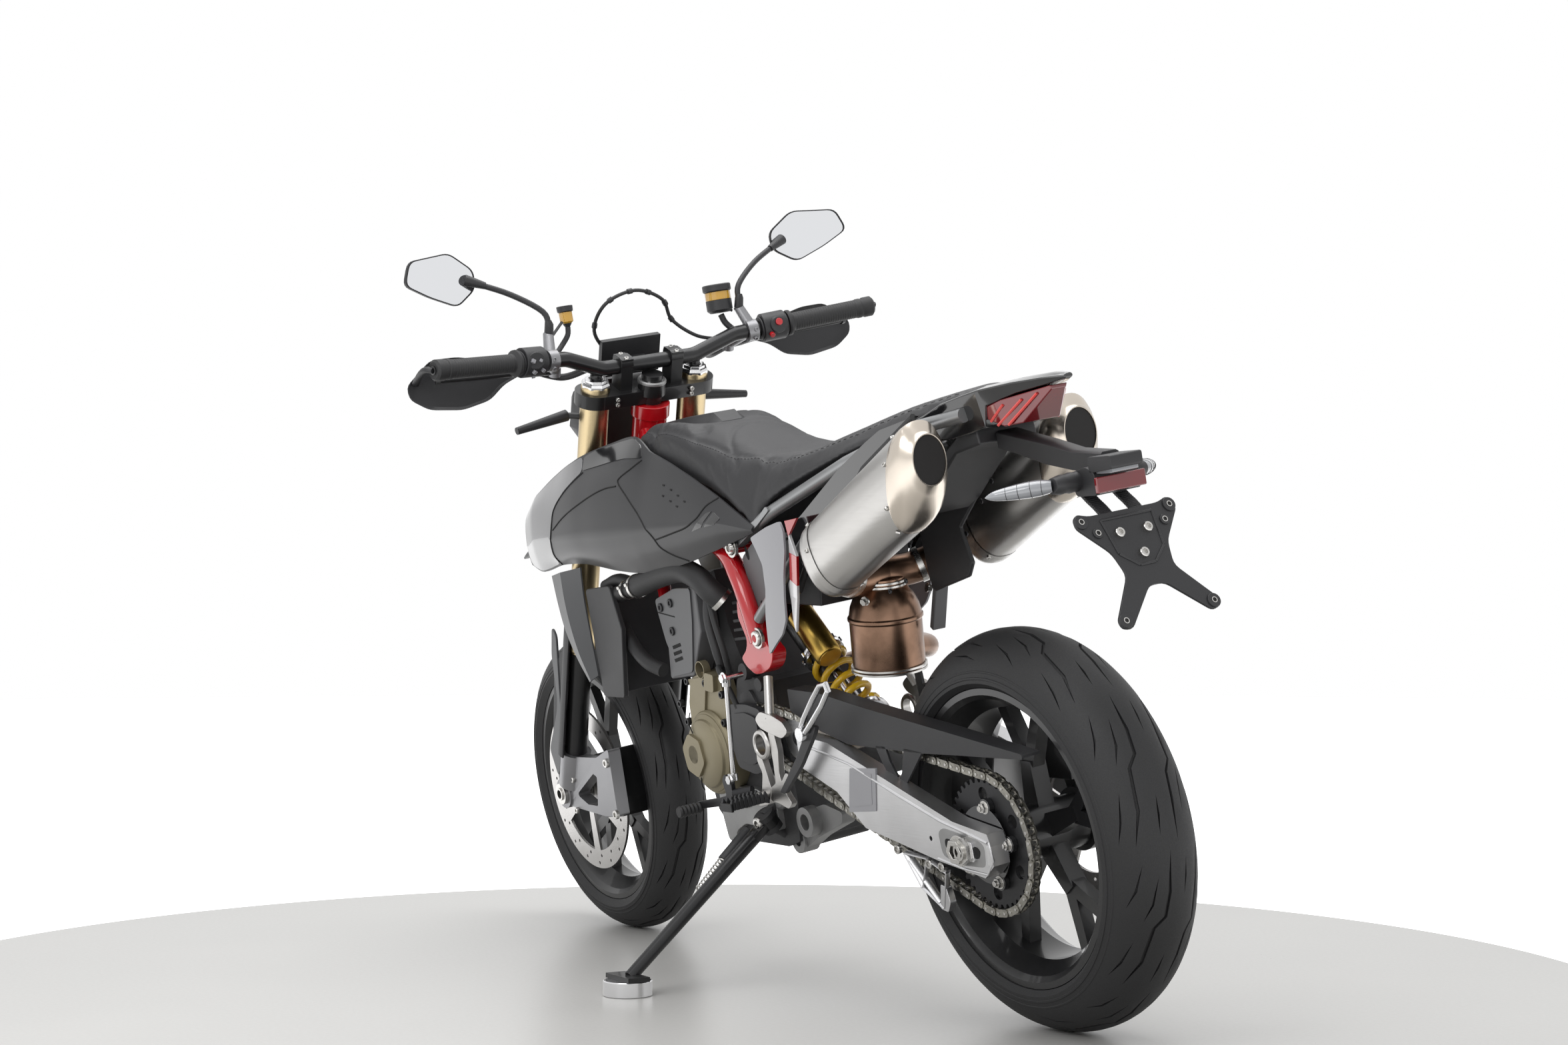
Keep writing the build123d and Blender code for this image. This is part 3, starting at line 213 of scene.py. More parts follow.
finish("yellow", (0.88, 0.55, 0.02), 0.3, coat=0.5, bump=0.04, vary=0.05)
finish("rubber", (0.018, 0.018, 0.019), 0.6, grain=900, bump=0.3)
finish("vinyl", (0.022, 0.022, 0.024), 0.55, grain=1300, bump=0.5, vary=0.08)
finish("steel_can", (0.48, 0.47, 0.455), 0.32, 1, grain=300, bump=0.2, streak=(0.08, 1, 1), vary=0.05)
finish("copper", (0.23, 0.14, 0.095), 0.3, 1, vary=0.35, blotch=18)
finish("anodised", (0.02, 0.02, 0.021), 0.34, 0.5, coat=0.2, bump=0.05)
finish("foot", (0.26, 0.26, 0.27), 0.38, 0.8, grain=700, bump=0.2)
finish("bright", (0.7, 0.7, 0.71), 0.2, 1, bump=0.05)
finish("lens_red", (0.2, 0.006, 0.01), 0.1, coat=0.9, bump=0.02)
finish("lens", (0.3, 0.31, 0.33), 0.08, coat=0.9, bump=0.02)
# The front band's lighter grey is a painted reflection of the white room on a near-black glossy panel.
finish("painted_reflection_band", (0.1, 0.1, 0.106), 0.2, coat=1.0, bump=0.02, vary=0.04)
finish("white", (0.7, 0.7, 0.71), 0.25, coat=0.6, bump=0.03, vary=0.04)
finish("silver_grey", (0.075, 0.077, 0.081), 0.4, grain=1100, bump=0.12)
# Near-black paint: on seams it is the dark joint itself, on holes and slots it is painted shade of the hollow
# behind them.
finish("joint_and_hole_shade", (0.004, 0.004, 0.004), 0.8, bump=0.0, vary=0.0)
finish("thread", (0.035, 0.035, 0.037), 0.6, bump=0.1)
finish("lamp_glow", (0.8, 0.06, 0.05), 0.2, coat=0.6, bump=0.0)
finish("champagne", (0.6, 0.54, 0.47), 0.24, 1, bump=0.05, vary=0.08)
finish("fluid", (0.6, 0.33, 0.03), 0.12, coat=0.9, bump=0.0, vary=0.05)
finish("soot", (0.012, 0.011, 0.011), 0.6, 0.3, bump=0.2)
finish("mirror", (0.75, 0.76, 0.78), 0.03, 1, bump=0.0, vary=0.0)

# What each CAD node is made of.
CAD_FINISH = {"rear_rim": "wheel", "rear_tyre": "tyre", "rear_disc": "disc", "rear_sprocket": "dark_metal",
              "front_rim": "wheel", "front_tyre": "tyre", "front_disc": "disc", "rear_axle": "steel",
              "swingarm": "brushed", "chain": "chain", "chain_guards": "plastic", "rear_caliper": "anodised",
              "engine_block": "engine", "engine_covers": "bronze", "cylinder_covers": "grey",
              "main_frame": "red", "subframe": "sub", "shock_absorber": "shock_gold",
              "shock_spring": "yellow", "radiator": "plastic", "coolant_hoses": "rubber", "airbox": "plastic",
              "fuel_tank": "plastic", "tank_shrouds": "body", "seat": "vinyl", "tail_unit": "plastic",
              "tail_lenses": "lens_red", "plate_bracket": "plastic", "rear_indicators": "lens",
              "side_panels": "silver", "silencers": "steel_can", "exhaust_pipe": "copper", "footpegs": "cast",
              "foot_controls": "bright", "triple_clamps": "anodised", "fork_uppers": "gold",
              "fork_stanchions": "anodised", "fork_feet": "foot", "front_axle": "steel",
              "front_caliper": "anodised", "fork_guards": "plastic", "front_mudguard": "plastic",
              "headlight_mask": "plastic", "headlight": "lens", "handlebar": "anodised", "grips": "rubber",
              "hand_controls": "foot", "handguards": "plastic", "mirrors": "plastic", "brake_hose": "rubber",
              "front_indicators": "plastic", "side_stand": "anodised", "stand_puck": "bright"}
for node, material in CAD_FINISH.items():
    nodes[node].data.materials.clear()
    nodes[node].data.materials.append(M[material])

# ---------------------------------------------------------------- mesh kit

AXIS = 0.01  # the radius at which a turned body closes


def rounded(points, radius, steps=4):
    """A closed outline with its corners rounded."""
    points = [Vector(p) for p in points]
    out = []
    for k, corner in enumerate(points):
        back, on = points[k - 1] - corner, points[(k + 1) % len(points)] - corner
        cut = min(radius, 0.45 * back.length, 0.45 * on.length)
        start, end = corner + back.normalized() * cut, corner + on.normalized() * cut
        for step in range(steps + 1):
            t = step / steps
            out.append(tuple(start * (1 - t) ** 2 + corner * 2 * t * (1 - t) + end * t * t))
    return out


def between(before, here, there, after, t):
    """A point of the smooth curve from here to there."""
    return (2 * here + (there - before) * t + (2 * before - 5 * here + 4 * there - after) * t * t
            + (3 * here - before - 3 * there + after) * t ** 3) / 2


def flow(points, steps=6, closed=False, creases=()):
    """Points on a smooth curve through the given ones, with a corner at each crease."""
    points = [Vector(p) for p in points]
    count = len(points)
    out = []
    for k in range(count if closed else count - 1):
        here, there = points[k], points[(k + 1) % count]
        before = points[k - 1] if closed or k else here * 2 - there
        after = points[(k + 2) % count] if closed or k + 2 < count else there * 2 - here
        if k in creases:
            before = here * 2 - there
        if (k + 1) % count in creases:
            after = there * 2 - here
        out += [between(before, here, there, after, step / steps) for step in range(steps)]
    if not closed:
        out.append(points[-1])
    return out


class Part:
    """One piece gathered in millimetres in a frame of the machine."""

    def __init__(self, name, material, body="chassis", frame=BIKE):
        self.name, self.material, self.body, self.frame = name, material, body, frame
        self.verts, self.faces = [], []

    def add(self, verts, faces, place=None):
        """More points and faces, counted from this call's first point."""
        base = len(self.verts)
        self.verts += [tuple(place @ Vector(v)) if place else tuple(v) for v in verts]
        self.faces += [[base + i for i in face] for face in faces]
        return self

    def rings(self, rings, closed=True, caps=True, loop=False, place=None):
        """Skin between outlines with the same number of points."""
        size = len(rings[0])
        verts = [p for ring in rings for p in ring]
        faces = []
        last = len(rings) if loop else len(rings) - 1
        for k in range(last):
            here, there = k * size, (k + 1) % len(rings) * size
            for i in range(size if closed else size - 1):
                j = (i + 1) % size
                faces.append((here + i, here + j, there + j, there + i))
        if caps and not loop and closed:
            faces += [tuple(reversed(range(size))), tuple(range((len(rings) - 1) * size, len(rings) * size))]
        return self.add(verts, faces, place)

    def prism(self, points, y0, y1, radius=0, place=None, steps=3):
        """A flat plate in X and Z between two sideways places."""
        if radius:
            points = rounded(points, radius, steps)
        return self.rings([[(x, y, z) for x, z in points] for y in (y0, y1)], place=place)

    def lathe(self, profile, sides=32, axis="Y", place=None, loop=False):
        """A turned body from (radius, along) points, solid, or a ring where it loops."""
        rings = []
        for radius, along in profile:
            ring = []
            for t in turns(sides):
                a, b = radius * math.cos(t), radius * math.sin(t)
                ring.append({"X": (along, a, b), "Y": (b, along, a), "Z": (a, b, along)}[axis])
            rings.append(ring)
        return self.rings(rings, place=place, caps=not loop, loop=loop)

    def sleeve(self, inner, outer, low, high, sides, axis, place=None):
        """A ring of square section."""
        return self.lathe([(inner, low), (outer, low), (outer, high), (inner, high)], sides, axis, place,
                          loop=True)

    def drum(self, radius, low, high, sides, axis, place=None):
        """A plain cylinder."""
        return self.lathe([(AXIS, low), (radius, low), (radius, high), (AXIS, high)], sides, axis, place)

    def tube(self, points, radius, sides=12, flat=1.0, closed=False, caps=True):
        """A round bar along points, its radius one number or one for each point."""
        points = [Vector(p) for p in points]
        count = len(points)
        radii = radius if isinstance(radius, (list, tuple)) else [radius] * count
        way = (points[1] - points[0]).normalized()
        side = way.cross(Vector((0.3, 0.2, 1))).normalized()
        rings = []
        for k, point in enumerate(points):
            if closed:
                on = (points[(k + 1) % count] - points[k - 1]).normalized()
            else:
                on = (points[min(k + 1, count - 1)] - points[max(k - 1, 0)]).normalized()
            side = (side - on * side.dot(on)).normalized()
            rise = on.cross(side)
            rings.append([point + side * (radii[k] * math.cos(t)) + rise * (radii[k] * flat * math.sin(t))
                          for t in turns(sides)])
        return self.rings(rings, loop=closed, caps=caps)

    def bolt(self, at, way, radius=6, height=5, socket=True):
        """A cap screw with a socket, or a hexagon head."""
        place = aimed(at, way)
        if socket:
            inner = radius * 0.52
            self.lathe([(AXIS, -0.5), (radius, -0.5), (radius, height * 0.8), (radius * 0.88, height),
                        (inner, height), (inner * 0.95, height * 0.45), (AXIS, height * 0.45)],
                       18, "Z", place)
        else:
            self.lathe([(AXIS, -0.5), (radius * 1.3, -0.5), (radius * 1.3, height * 0.25),
                        (AXIS, height * 0.25)], 24, "Z", place)
            self.rings([[(radius * math.cos(t), radius * math.sin(t), z) for t in turns(6)]
                        for z in (0, height)], place=place)
        return self

    def coil(self, start, end, radius, wire, rounds, sides=8):
        """A coil spring between two points."""
        start, end = Vector(start), Vector(end)
        place = (end - start).to_track_quat("Z", "Y").to_matrix()
        steps = int(rounds * 20)
        points = []
        for k in range(steps + 1):
            t = math.tau * rounds * k / steps
            points.append(start + place @ Vector((
                radius * math.cos(t), radius * math.sin(t), (end - start).length * k / steps)))
        return self.tube(points, wire, sides)

    def twin(self):
        """Add the right-hand twin of all so far."""
        base = len(self.verts)
        self.faces += [[base + i for i in reversed(face)] for face in self.faces]
        self.verts += [(x, -y, z) for x, y, z in self.verts]
        return self

    def done(self, slot=None, bevel=0.0, segments=2, smooth=35, replaces=(), weld=False):
        """Hand the piece over to the scene."""
        made = bpy.data.meshes.new(self.name)
        made.from_pydata([tuple(self.frame @ Vector(v)) for v in self.verts], [], self.faces)
        return place_piece(self.name, made, self.body, self.material, bevel, segments, smooth,
                           replaces, weld)


def place_piece(name, made, body, material, bevel, segments, smooth, replaces, weld=False):
    """Make a mesh a piece of the scene, with its shading, edges and body, and what it replaces."""
    made.validate()
    shape = bmesh.new()
    shape.from_mesh(made)
    if weld:
        bmesh.ops.remove_doubles(shape, verts=shape.verts, dist=2e-5)
    bmesh.ops.recalc_face_normals(shape, faces=shape.faces)
    shape.to_mesh(made)
    shape.free()
    thing = bpy.data.objects.new(name, made)
    bpy.context.scene.collection.objects.link(thing)
    made.materials.append(M[material])
    made.shade_smooth()
    if smooth:
        made.set_sharp_from_angle(angle=math.radians(smooth))
    if bevel:
        edge = thing.modifiers.new("edge", "BEVEL")
        edge.width = bevel * MM
        edge.segments = segments
        edge.limit_method = "ANGLE"
        edge.angle_limit = math.radians(32)
        edge.harden_normals = True
    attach(thing, body)
    if replaces:
        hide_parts(*replaces)
    return thing


body_of = {node: body for body, members in frame["record"]["behaviour"]["bodies"].items() for node in members}


def soften(node, width, smooth=32):
    """Stand a copy with rounded edges in for a CAD node."""
    made = nodes[node].data.copy()
    made.materials.clear()
    shape = bmesh.new()
    shape.from_mesh(made)
    bmesh.ops.remove_doubles(shape, verts=shape.verts, dist=1e-6)
    bmesh.ops.dissolve_limit(shape, angle_limit=math.radians(0.6), verts=shape.verts, edges=shape.edges)
    shape.to_mesh(made)
    shape.free()
    return place_piece("soft_" + node, made, body_of[node], CAD_FINISH[node], width, 2, smooth,
                       (node,))


# ---------------------------------------------------------------- pieces

EDGE_WIDTHS = {"swingarm": 2.5, "rear_caliper": 3, "engine_block": 3, "cylinder_covers": 3, "airbox": 3,
               "triple_clamps": 3, "fork_feet": 3, "front_caliper": 8, "fork_guards": 1.5, "side_stand": 2,
               "stand_puck": 2, "front_indicators": 2, "radiator": 2}
for node, width in EDGE_WIDTHS.items():
    soften(node, width)

# Tyres: a tread sheet with real grooves over a turned carcass. A groove is a line on the drawn cell, as
# (round the tyre, across it), with its width.
CELL_LENGTH, CELL_HALF = 245, 92
TREAD_CELLS = 8
TREAD_EDGE = 66  # degrees from the middle of the tread to its edge
TREAD_GRID = 9
GROOVE_DEPTH = 4.2
GROOVE_SLOPE = 1.4
CARCASS_WALL = 9
# The side wall's ribs as (degrees, lift), and the bead as (radius, outward from the rim's edge).
WALL = [(TREAD_EDGE, 0), (70, 0), (70.5, 0.7), (72, 0.7), (72.5, 0), (77, 0), (77.5, 1.2), (79.5, 1.2),
        (80, 0), (84, 0)]
BEAD = [(232.5, 7), (231.6, 0), (219.4, -0.4), (219.4, -13), (228, -9)]
GROOVES = [
    ([(4, 8), (66, 14), (104, 20), (122, 36), (186, 44), (238, 58)], 5.2),
    ([(40, 30), (84, 40), (112, 52)], 3.6),
    ([(150, 62), (196, 72), (232, 82)], 3.6),
    ([(20, 52), (62, 64), (92, 78)], 3.6),
    ([(168, 12), (226, 20)], 3.4),
]


def ribbon(line, width):
    """The outline of a groove along a line, drawn to a point at both ends."""
    line = [Vector(p) for p in line]
    spots = [(line[k], line[k + 1] - line[k - 1]) for k in range(1, len(line) - 1)]
    if not spots:
        spots = [((line[0] + line[1]) / 2, line[1] - line[0])]
    left, right = [], []
    for spot, way in spots:
        way.normalize()
        across = Vector((-way.y, way.x)) * width / 2
        left.append(spot + across)
        right.append(spot - across)
    return [line[0]] + left + [line[-1]] + right[::-1]


def groove_outlines(cell, edge):
    """Each groove's outline and its floor's, all round the tyre, as drawn and turned about the cell."""
    stretch, narrow = cell / CELL_LENGTH, edge / CELL_HALF
    outlines = []
    for k in range(TREAD_CELLS):
        for line, width in GROOVES:
            for turned in (False, True):
                moved = []
                for u, v in line:
                    u, v = u * stretch, v * narrow
                    if turned:
                        u, v = cell - u, -v
                    moved.append((k * cell + u, v))
                first, last = (Vector(moved[a]).lerp(Vector(moved[b]), 0.06) for a, b in ((0, 1), (-1, -2)))
                floor = ribbon([first] + moved[1:-1] + [last], width - GROOVE_SLOPE)
                outlines.append((ribbon(moved, width), floor))
    return outlines


def clear_of(outline, u, v):
    """How far a point is from an outline, or -1 inside it."""
    inside = False
    least = 99.0
    for k in range(len(outline)):
        (x0, y0), (x1, y1) = outline[k - 1], outline[k]
        if (y0 > v) != (y1 > v) and u < (x1 - x0) * (v - y0) / (y1 - y0) + x0:
            inside = not inside
        run = (x1 - x0) ** 2 + (y1 - y0) ** 2
        t = max(0, min(1, ((u - x0) * (x1 - x0) + (v - y0) * (y1 - y0)) / run))
        least = min(least, math.hypot(u - x0 - t * (x1 - x0), v - y0 - t * (y1 - y0)))
    return -1 if inside else least


def tread_sheet(girth, edge, outlines):
    """The flat tread's points, which of them lie on a groove's floor, and its triangles."""
    columns, rows = int(girth / TREAD_GRID), int(2 * edge / TREAD_GRID)
    spans = [(min(p[0] for p in outline) - 2, max(p[0] for p in outline) + 2, outline)
             for outline, _ in outlines]
    points, edges, deep = [], [], []
    for k in range(columns + 1):
        u = girth * k / columns
        near = [outline for low, high, outline in spans if low < u < high]
        for j in range(rows + 1):
            v = -edge + 2 * edge * j / rows
            border = k in (0, columns) or j in (0, rows)
            if border or all(clear_of(outline, u, v) > 2.2 for outline in near):
                points.append(Vector((u, v)))
                deep.append(False)
    for pair in outlines:
        for loop, low in zip(pair, (False, True)):
            first = len(points)
            points += [Vector(p) for p in loop]
            deep += [low] * len(loop)
            edges += [(first + i, first + (i + 1) % len(loop)) for i in range(len(loop))]
    flat, _, faces, origin, _, _ = delaunay_2d_cdt(points, edges, [], 0, 1e-4)
    return flat, [bool(source) and deep[source[0]] for source in origin], faces


def carcass_profile(ring_r, crown_r, half):
    """Half of the tyre's section as (radius, sideways) points: its outer wall, its bead and its lining."""
    wall = [(math.radians(degrees), crown_r + lift) for degrees, lift in WALL]
    lining = [(math.radians(degrees), crown_r - CARCASS_WALL) for degrees in (80, 60, 40, 20)]
    outside, inside = ([(ring_r + radius * math.cos(t), radius * math.sin(t)) for t, radius in line]
                       for line in (wall, lining))
    return outside + [(radius, half + out) for radius, out in BEAD] + inside


def tyre_piece(name, node, body, frame_of_wheel, ring_r, crown_r, half):
    """A tyre whose crown has radius crown_r about a ring of radius ring_r, on a rim of that half width."""
    outer = ring_r + crown_r
    girth = math.tau * outer
    edge = crown_r * math.radians(TREAD_EDGE)
    flat, sunken, faces = tread_sheet(girth, edge, groove_outlines(girth / TREAD_CELLS, edge))
    tread = Part(name, "tyre", body, frame_of_wheel)
    verts = []
    for p, low in zip(flat, sunken):
        sunk = crown_r - (GROOVE_DEPTH if low else 0)
        turn, tilt = p.x / outer, p.y / crown_r
        reach = ring_r + sunk * math.cos(tilt)
        verts.append((reach * math.cos(turn), sunk * math.sin(tilt), reach * math.sin(turn)))
    tread.add(verts, [tuple(face) for face in faces])
    wall = carcass_profile(ring_r, crown_r, half)
    profile = wall + [(r, -y) for r, y in reversed(wall)]
    rings = [[(r * math.cos(t), y, r * math.sin(t)) for r, y in profile]
             for t in turns(int(girth / TREAD_GRID))]
    tread.rings(rings, closed=False, loop=True)
    tread.done("tyre_rubber", weld=True, smooth=28, replaces=(node,))


tyre_piece("rear_tread", "rear_tyre", "rear_wheel", REAR, 232, 80, 63.5)
tyre_piece("front_tread", "front_tyre", "front_wheel", FRONT, 240, 60, 44.5)

# Drive chain: links and rollers round both sprockets.
CHAIN_Y = 97
PITCH = 15.875
REAR_SPROCKET, FRONT_SPROCKET = (0, 312, 106.2), (645, 465, 38.2)  # x, z and pitch radius
LINK_END_R = 6.9
LINK_PLATE = 1.9


def chain_points():
    """Pin places round the rear and front sprockets."""
    (x0, z0, big), (x1, z1, small) = REAR_SPROCKET, FRONT_SPROCKET
    span = math.hypot(x1 - x0, z1 - z0)
    lie = math.atan2(z1 - z0, x1 - x0)
    lap = math.asin((big - small) / span)
    straight = math.sqrt(span ** 2 - (big - small) ** 2)
    up_turn, down_turn = lie + math.pi / 2 - lap, lie - math.pi / 2 + lap
    legs = [(straight, x0, z0, big, up_turn, False),
            (small * (math.pi - 2 * lap), x1, z1, small, up_turn, True),
            (straight, x1, z1, small, down_turn, False),
            (big * (math.pi + 2 * lap), x0, z0, big, down_turn, True)]
    total = sum(leg[0] for leg in legs)
    count = 2 * round(total / PITCH / 2)
    out = []
    for k in range(count):
        run = total * k / count
        for length, x, z, radius, turn, round_it in legs:
            if run < length:
                break
            run -= length
        if round_it:
            turn -= run / radius
            run = 0
        way = turn - math.pi / 2
        out.append((x + radius * math.cos(turn) + run * math.cos(way),
                    z + radius * math.sin(turn) + run * math.sin(way)))
    return out


def link_outline(pin, next_pin):
    """A link plate round two pins, waisted between them."""
    way = math.atan2(next_pin[1] - pin[1], next_pin[0] - pin[0])
    outline = []
    for centre, start in ((next_pin, -90), (pin, 90)):
        for step in range(7):
            t = way + math.radians(start + 30 * step)
            outline.append((centre[0] + LINK_END_R * math.cos(t), centre[1] + LINK_END_R * math.sin(t)))
    middle = [(pin[i] + next_pin[i]) / 2 for i in (0, 1)]
    for spot in (6, 7, 13, 0):
        outline[spot] = tuple(outline[spot][i] + (middle[i] - outline[spot][i]) * 0.12 for i in (0, 1))
    return outline


pins = chain_points()
plates = Part("chain_links", "chain")
rollers = Part("chain_rollers", "steel")
for k, (x, z) in enumerate(pins):
    outline = link_outline(pins[k], pins[(k + 1) % len(pins)])
    near = 3.9 if k % 2 else 6.1
    for sign in (-1, 1):
        low, high = sorted((CHAIN_Y + sign * near, CHAIN_Y + sign * (near + LINK_PLATE)))
        plates.prism(outline, low, high)
    place = Matrix.Translation((x, CHAIN_Y, z))
    rollers.lathe([(4.9, -3.7), (4.9, 3.7)], 12, "Y", place)
    rollers.lathe([(AXIS, -9.2), (2.4, -9.2), (2.6, -8), (2.6, 8), (2.4, 9.2), (AXIS, 9.2)], 10, "Y", place)
plates.done("chain_steel", replaces=("chain",), smooth=40)
rollers.done("chain_steel", smooth=40)

# Tank shrouds: one flowing skin a side through stations (x, [(y, z) from the top down]), with trims on it.
SHROUD = [
    (1344, [(143, 868), (151, 853), (155, 832), (157, 806), (156, 784), (153, 766)]),
    (1290, [(147, 898), (159, 876), (165, 850), (169, 812), (165, 780), (156, 752)]),
    (1200, [(147, 930), (164, 888), (172, 858), (178, 815), (172, 785), (156, 764)]),
    (1100, [(149, 956), (167, 906), (176, 872), (184, 818), (178, 788), (158, 765)]),
    (1040, [(140, 970), (163, 918), (174, 880), (184, 820), (178, 786), (156, 758)]),
    (980, [(126, 980), (156, 930), (171, 884), (183, 820), (176, 784), (154, 750)]),
    (900, [(117, 986), (146, 938), (164, 884), (178, 822), (171, 784), (150, 744)]),
    (840, [(123, 956), (143, 916), (158, 874), (173, 825), (167, 785), (147, 746)]),
    (740, [(128, 923), (140, 890), (150, 862), (163, 826), (158, 792), (144, 757)]),
    (620, [(127, 870), (133, 857), (139, 845), (148, 827), (146, 806), (137, 780)]),
    (518, [(123, 814), (125, 812), (127, 810), (128, 808), (127, 806), (125, 803)]),
]
BELT_ROW = 3
SHROUD_STEPS = 56
SHROUD_SKIN = 3.2


def shroud_section(x):
    """The shroud's outline (y, z) at a place along the machine."""
    last = len(SHROUD) - 2
    k = next((i for i in range(last) if x >= SHROUD[i + 1][0]), last)
    t = (x - SHROUD[k][0]) / (SHROUD[k + 1][0] - SHROUD[k][0])
    out = []
    for row in range(6):
        here, there = Vector(SHROUD[k][1][row]), Vector(SHROUD[k + 1][1][row])
        before = Vector(SHROUD[k - 1][1][row]) if k else here * 2 - there
        after = Vector(SHROUD[k + 2][1][row]) if k < last else there * 2 - here
        out.append(between(before, here, there, after, t))
    return flow(out, 5, creases=(BELT_ROW,))


def shroud_y(x, z):
    """How far out the shroud's skin stands."""
    line = shroud_section(x)
    for a, b in zip(line, line[1:]):
        if b.y <= z <= a.y:
            t = (z - b.y) / max(1e-6, a.y - b.y)
            return b.x + (a.x - b.x) * t
    return line[0].x if z > line[0].y else line[-1].x


def filled(outline, step):
    """Triangles over a flat outline, fine enough to bend."""
    outline = [Vector(p) for p in outline]
    points = list(outline)
    edges = [(i, (i + 1) % len(outline)) for i in range(len(outline))]
    low = Vector((min(p.x for p in outline), min(p.y for p in outline)))
    high = Vector((max(p.x for p in outline), max(p.y for p in outline)))
    for i in range(1, int((high.x - low.x) / step) + 1):
        for j in range(1, int((high.y - low.y) / step) + 1):
            u, v = low.x + i * step, low.y + j * step
            if clear_of([tuple(p) for p in outline], u, v) == -1:
                points.append(Vector((u, v)))
    flat, _, faces, _, _, _ = delaunay_2d_cdt(points, edges, [], 1, 1e-4)
    return flat, faces


def along_edges(outline, step):
    """An outline with points added along its long sides."""
    out = []
    for k in range(len(outline)):
        a, b = Vector(outline[k]), Vector(outline[(k + 1) % len(outline)])
        count = max(1, int((b - a).length / step))
        out += [tuple(a.lerp(b, i / count)) for i in range(count)]
    return out


def laid_on(part, outline, lift, depth, reach, step=9, radius=0):
    """A trim lying on a skin: reach(x, z) gives how far out the skin stands."""
    if radius:
        outline = rounded(outline, radius, 3)
    outline = along_edges(outline, step)
    flat, faces = filled(outline, step)
    base = [(p.x, reach(p.x, p.y) + lift, p.y) for p in flat]
    part.add(base, [tuple(f) for f in faces])
    ring = [(x, reach(x, z) + lift, z) for x, z in outline]
    foot = [(x, reach(x, z) + lift - depth, z) for x, z in outline]
    part.rings([ring, foot], caps=False)


shroud = Part("shrouds", "body")
rows = []
for k in range(SHROUD_STEPS + 1):
    x = SHROUD[0][0] - k * (SHROUD[0][0] - SHROUD[-1][0]) / SHROUD_STEPS
    line = shroud_section(x)
    rows.append([(x, p.x, p.y) for p in line] + [(x, p.x - SHROUD_SKIN, p.y) for p in reversed(line)])
shroud.rings(rows)
shroud.twin().done("body_grey", weld=True, smooth=30, replaces=("tank_shrouds",))

joint_and_hole_shade = Part("shroud_seams", "joint_and_hole_shade")
SHROUD_SEAMS = [
    [(857, 944), (881, 931), (908, 919), (914, 910), (887, 887), (838, 847), (798, 811), (782, 790),
     (755, 774), (721, 762)],
    [(613, 866), (640, 855), (661, 835), (691, 822), (734, 814), (788, 805)],
    [(1051, 934), (1123, 902), (1168, 871), (1181, 838), (1194, 796), (1199, 766)],
    [(1174, 834), (1117, 858), (1023, 887), (962, 901), (920, 904)],
]
for line in SHROUD_SEAMS:
    joint_and_hole_shade.tube([(p.x, shroud_y(p.x, p.y) - 0.3, p.y) for p in flow(line, 8)], 1.7, 6)
# Small near-black discs stand in for holes in the shroud: painted shade.
for x, z in ((773, 896), (749, 887), (770, 878), (726, 876), (746, 868), (704, 865), (724, 858)):
    spot = Vector((x, shroud_y(x, z), z))
    joint_and_hole_shade.add([spot + Vector((3.2 * math.cos(t), 0.4 + 0.25 * math.sin(t), 3.2 * math.sin(t)))
             for t in turns(12)], [tuple(range(12))])
joint_and_hole_shade.twin().done("black_plastic", smooth=60)

trims = Part("shroud_trims", "gloss")
laid_on(trims, [(1054, 938), (1056, 962), (1018, 972), (950, 980), (900, 984), (872, 970), (858, 948),
                (905, 951), (944, 949), (1001, 943)], 1.4, 3, shroud_y, 8, 6)
for outline in ([(675, 814), (645, 820), (621, 846), (636, 843)],
                [(637, 820), (608, 823), (596, 832), (616, 844)]):
    laid_on(trims, outline, 0.9, 2, shroud_y, 8, 2)
trims.twin().done("black_plastic")
# A glossy band along each shroud's front. Its lighter grey is a painted reflection of the white room.
painted_reflection_band = Part("shroud_painted_reflection_bands", "painted_reflection_band")
laid_on(painted_reflection_band, [(1054, 936), (1125, 904), (1171, 872), (1184, 838), (1197, 796), (1202, 768), (1250, 759),
               (1290, 754), (1336, 765), (1343, 800), (1343, 864), (1290, 896), (1200, 928), (1130, 948),
               (1062, 963)], 0.9, 2, shroud_y, 9, 10)
painted_reflection_band.twin().done("body_grey", smooth=40)

wing = Part("radiator_wings", "silver_grey")
wing_front = [(1254, 744, 158), (1236, 690, 163), (1216, 640, 166), (1186, 588, 166), (1156, 541, 162)]
wing_crease = [(1190, 752, 170), (1182, 700, 174), (1172, 650, 175), (1160, 596, 172), (1146, 544, 164)]
wing_back = [(1134, 758, 154), (1144, 700, 152), (1146, 640, 150), (1142, 590, 150), (1136, 552, 152)]
wing_rows = zip(*(flow([(x, y, z) for x, z, y in line], 5) for line in (wing_front, wing_crease, wing_back)))
wing.rings([list(row) + [p - Vector((0, 3, 0)) for p in reversed(row)] for row in wing_rows])
wing.twin().done("body_grey", smooth=25)

